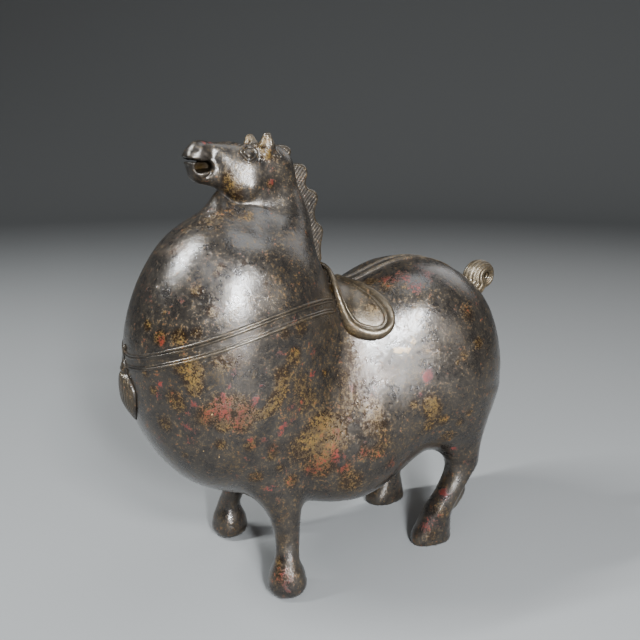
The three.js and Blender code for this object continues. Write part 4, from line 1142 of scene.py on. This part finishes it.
# ---------------------------------------------------------------- floor, light, camera
floor_mesh = bpy.data.meshes.new("floor")
FLAT, CURVE, WALL = 1.7, 0.8, 1.2
profile = [(FLAT * k / 4, 0.0) for k in range(1, 5)]
profile += [(FLAT + CURVE * math.sin(a * math.pi / 24), CURVE * (1 - math.cos(a * math.pi / 24))) for a in range(1, 13)]
profile += [(FLAT + CURVE, CURVE + WALL)]
SIDES = 96
spots = [(0.0, 0.0, 0.0)] + [(r * math.cos(2 * math.pi * k / SIDES), r * math.sin(2 * math.pi * k / SIDES), z) for r, z in profile for k in range(SIDES)]
faces = [(0, 1 + k, 1 + (k + 1) % SIDES) for k in range(SIDES)]
faces += [(1 + j * SIDES + k, 1 + (j + 1) * SIDES + k, 1 + (j + 1) * SIDES + (k + 1) % SIDES, 1 + j * SIDES + (k + 1) % SIDES)
          for j in range(len(profile) - 1) for k in range(SIDES)]
floor_mesh.from_pydata(spots, [], faces)
for f in floor_mesh.polygons:
    f.use_smooth = True
floor = bpy.data.objects.new("floor", floor_mesh)
bpy.context.scene.collection.objects.link(floor)
floor_mesh.materials.append(plain_material("floor_pale", (0.135, 0.13, 0.123, 1), 0.9))

world = bpy.data.worlds.new("studio")
bpy.context.scene.world = world
world.use_nodes = True
world.node_tree.nodes["Background"].inputs[0].default_value = (0.55, 0.58, 0.62, 1)
world.node_tree.nodes["Background"].inputs[1].default_value = 0.11

TARGET = Vector((0.015, -0.01, 0.12))


def toward(az, el):
    # az 0 stands in front of the horse (toward -Y), 90 on its left side (+X)
    a, e = math.radians(az), math.radians(el)
    return Vector((math.sin(a) * math.cos(e), -math.cos(a) * math.cos(e), math.sin(e)))


def lamp(name, az, el, dist, wide, tall, power, color=(1, 1, 1), long_side=Vector((0, 0, 1))):
    d = toward(az, el)
    data = bpy.data.lights.new(name, "AREA")
    data.shape = "RECTANGLE"
    data.size, data.size_y = wide, tall
    data.energy = power
    data.color = color
    ob = bpy.data.objects.new(name, data)
    ob.location = TARGET + d * dist
    y = (long_side - d * long_side.dot(d)).normalized()
    ob.rotation_mode = "QUATERNION"
    ob.rotation_quaternion = Matrix((y.cross(d), y, d)).transposed().to_quaternion()
    bpy.context.scene.collection.objects.link(ob)
    return ob


lamp("key", 78, 18.5, 0.60, 0.045, 0.10, 12, (0.84, 0.92, 1.0))
lamp("key_low", 84, -4, 0.52, 0.06, 0.07, 0.9, (0.92, 0.96, 1.0))
lamp("key_top", 85, 33, 0.95, 0.21, 0.075, 20, (0.84, 0.92, 1.0))
lamp("front_soft", -23, 46, 1.1, 0.045, 0.52, 32, (0.86, 0.94, 1.0), toward(-33, 61) - toward(-12, 28))
lamp("front_fill", 40, 46, 1.1, 0.55, 0.5, 3.8, (0.86, 0.93, 1.0))
lamp("top_soft", 175, 77, 1.1, 0.65, 0.55, 5.6, (0.86, 0.93, 1.0))
lamp("side_soft", 118, 14, 1.1, 0.45, 0.40, 1.9, (1.0, 0.95, 0.88))
lamp("back_soft", 200, 35, 1.2, 0.8, 0.6, 3, (0.97, 0.98, 1.0))

cam_data = bpy.data.cameras.new("camera")
cam_data.lens = 39.375
cam_data.sensor_fit = "HORIZONTAL"
cam_data.sensor_width = 36.0
cam_data.clip_start, cam_data.clip_end = 0.01, 20
cam = bpy.data.objects.new("camera", cam_data)
cam.location = (0.2896, -0.15164, 0.200)
cam.rotation_mode = "QUATERNION"
cam.rotation_quaternion = Vector((-0.8644, 0.4404, -0.2427)).to_track_quat("-Z", "Y")
bpy.context.scene.collection.objects.link(cam)
bpy.context.scene.camera = cam
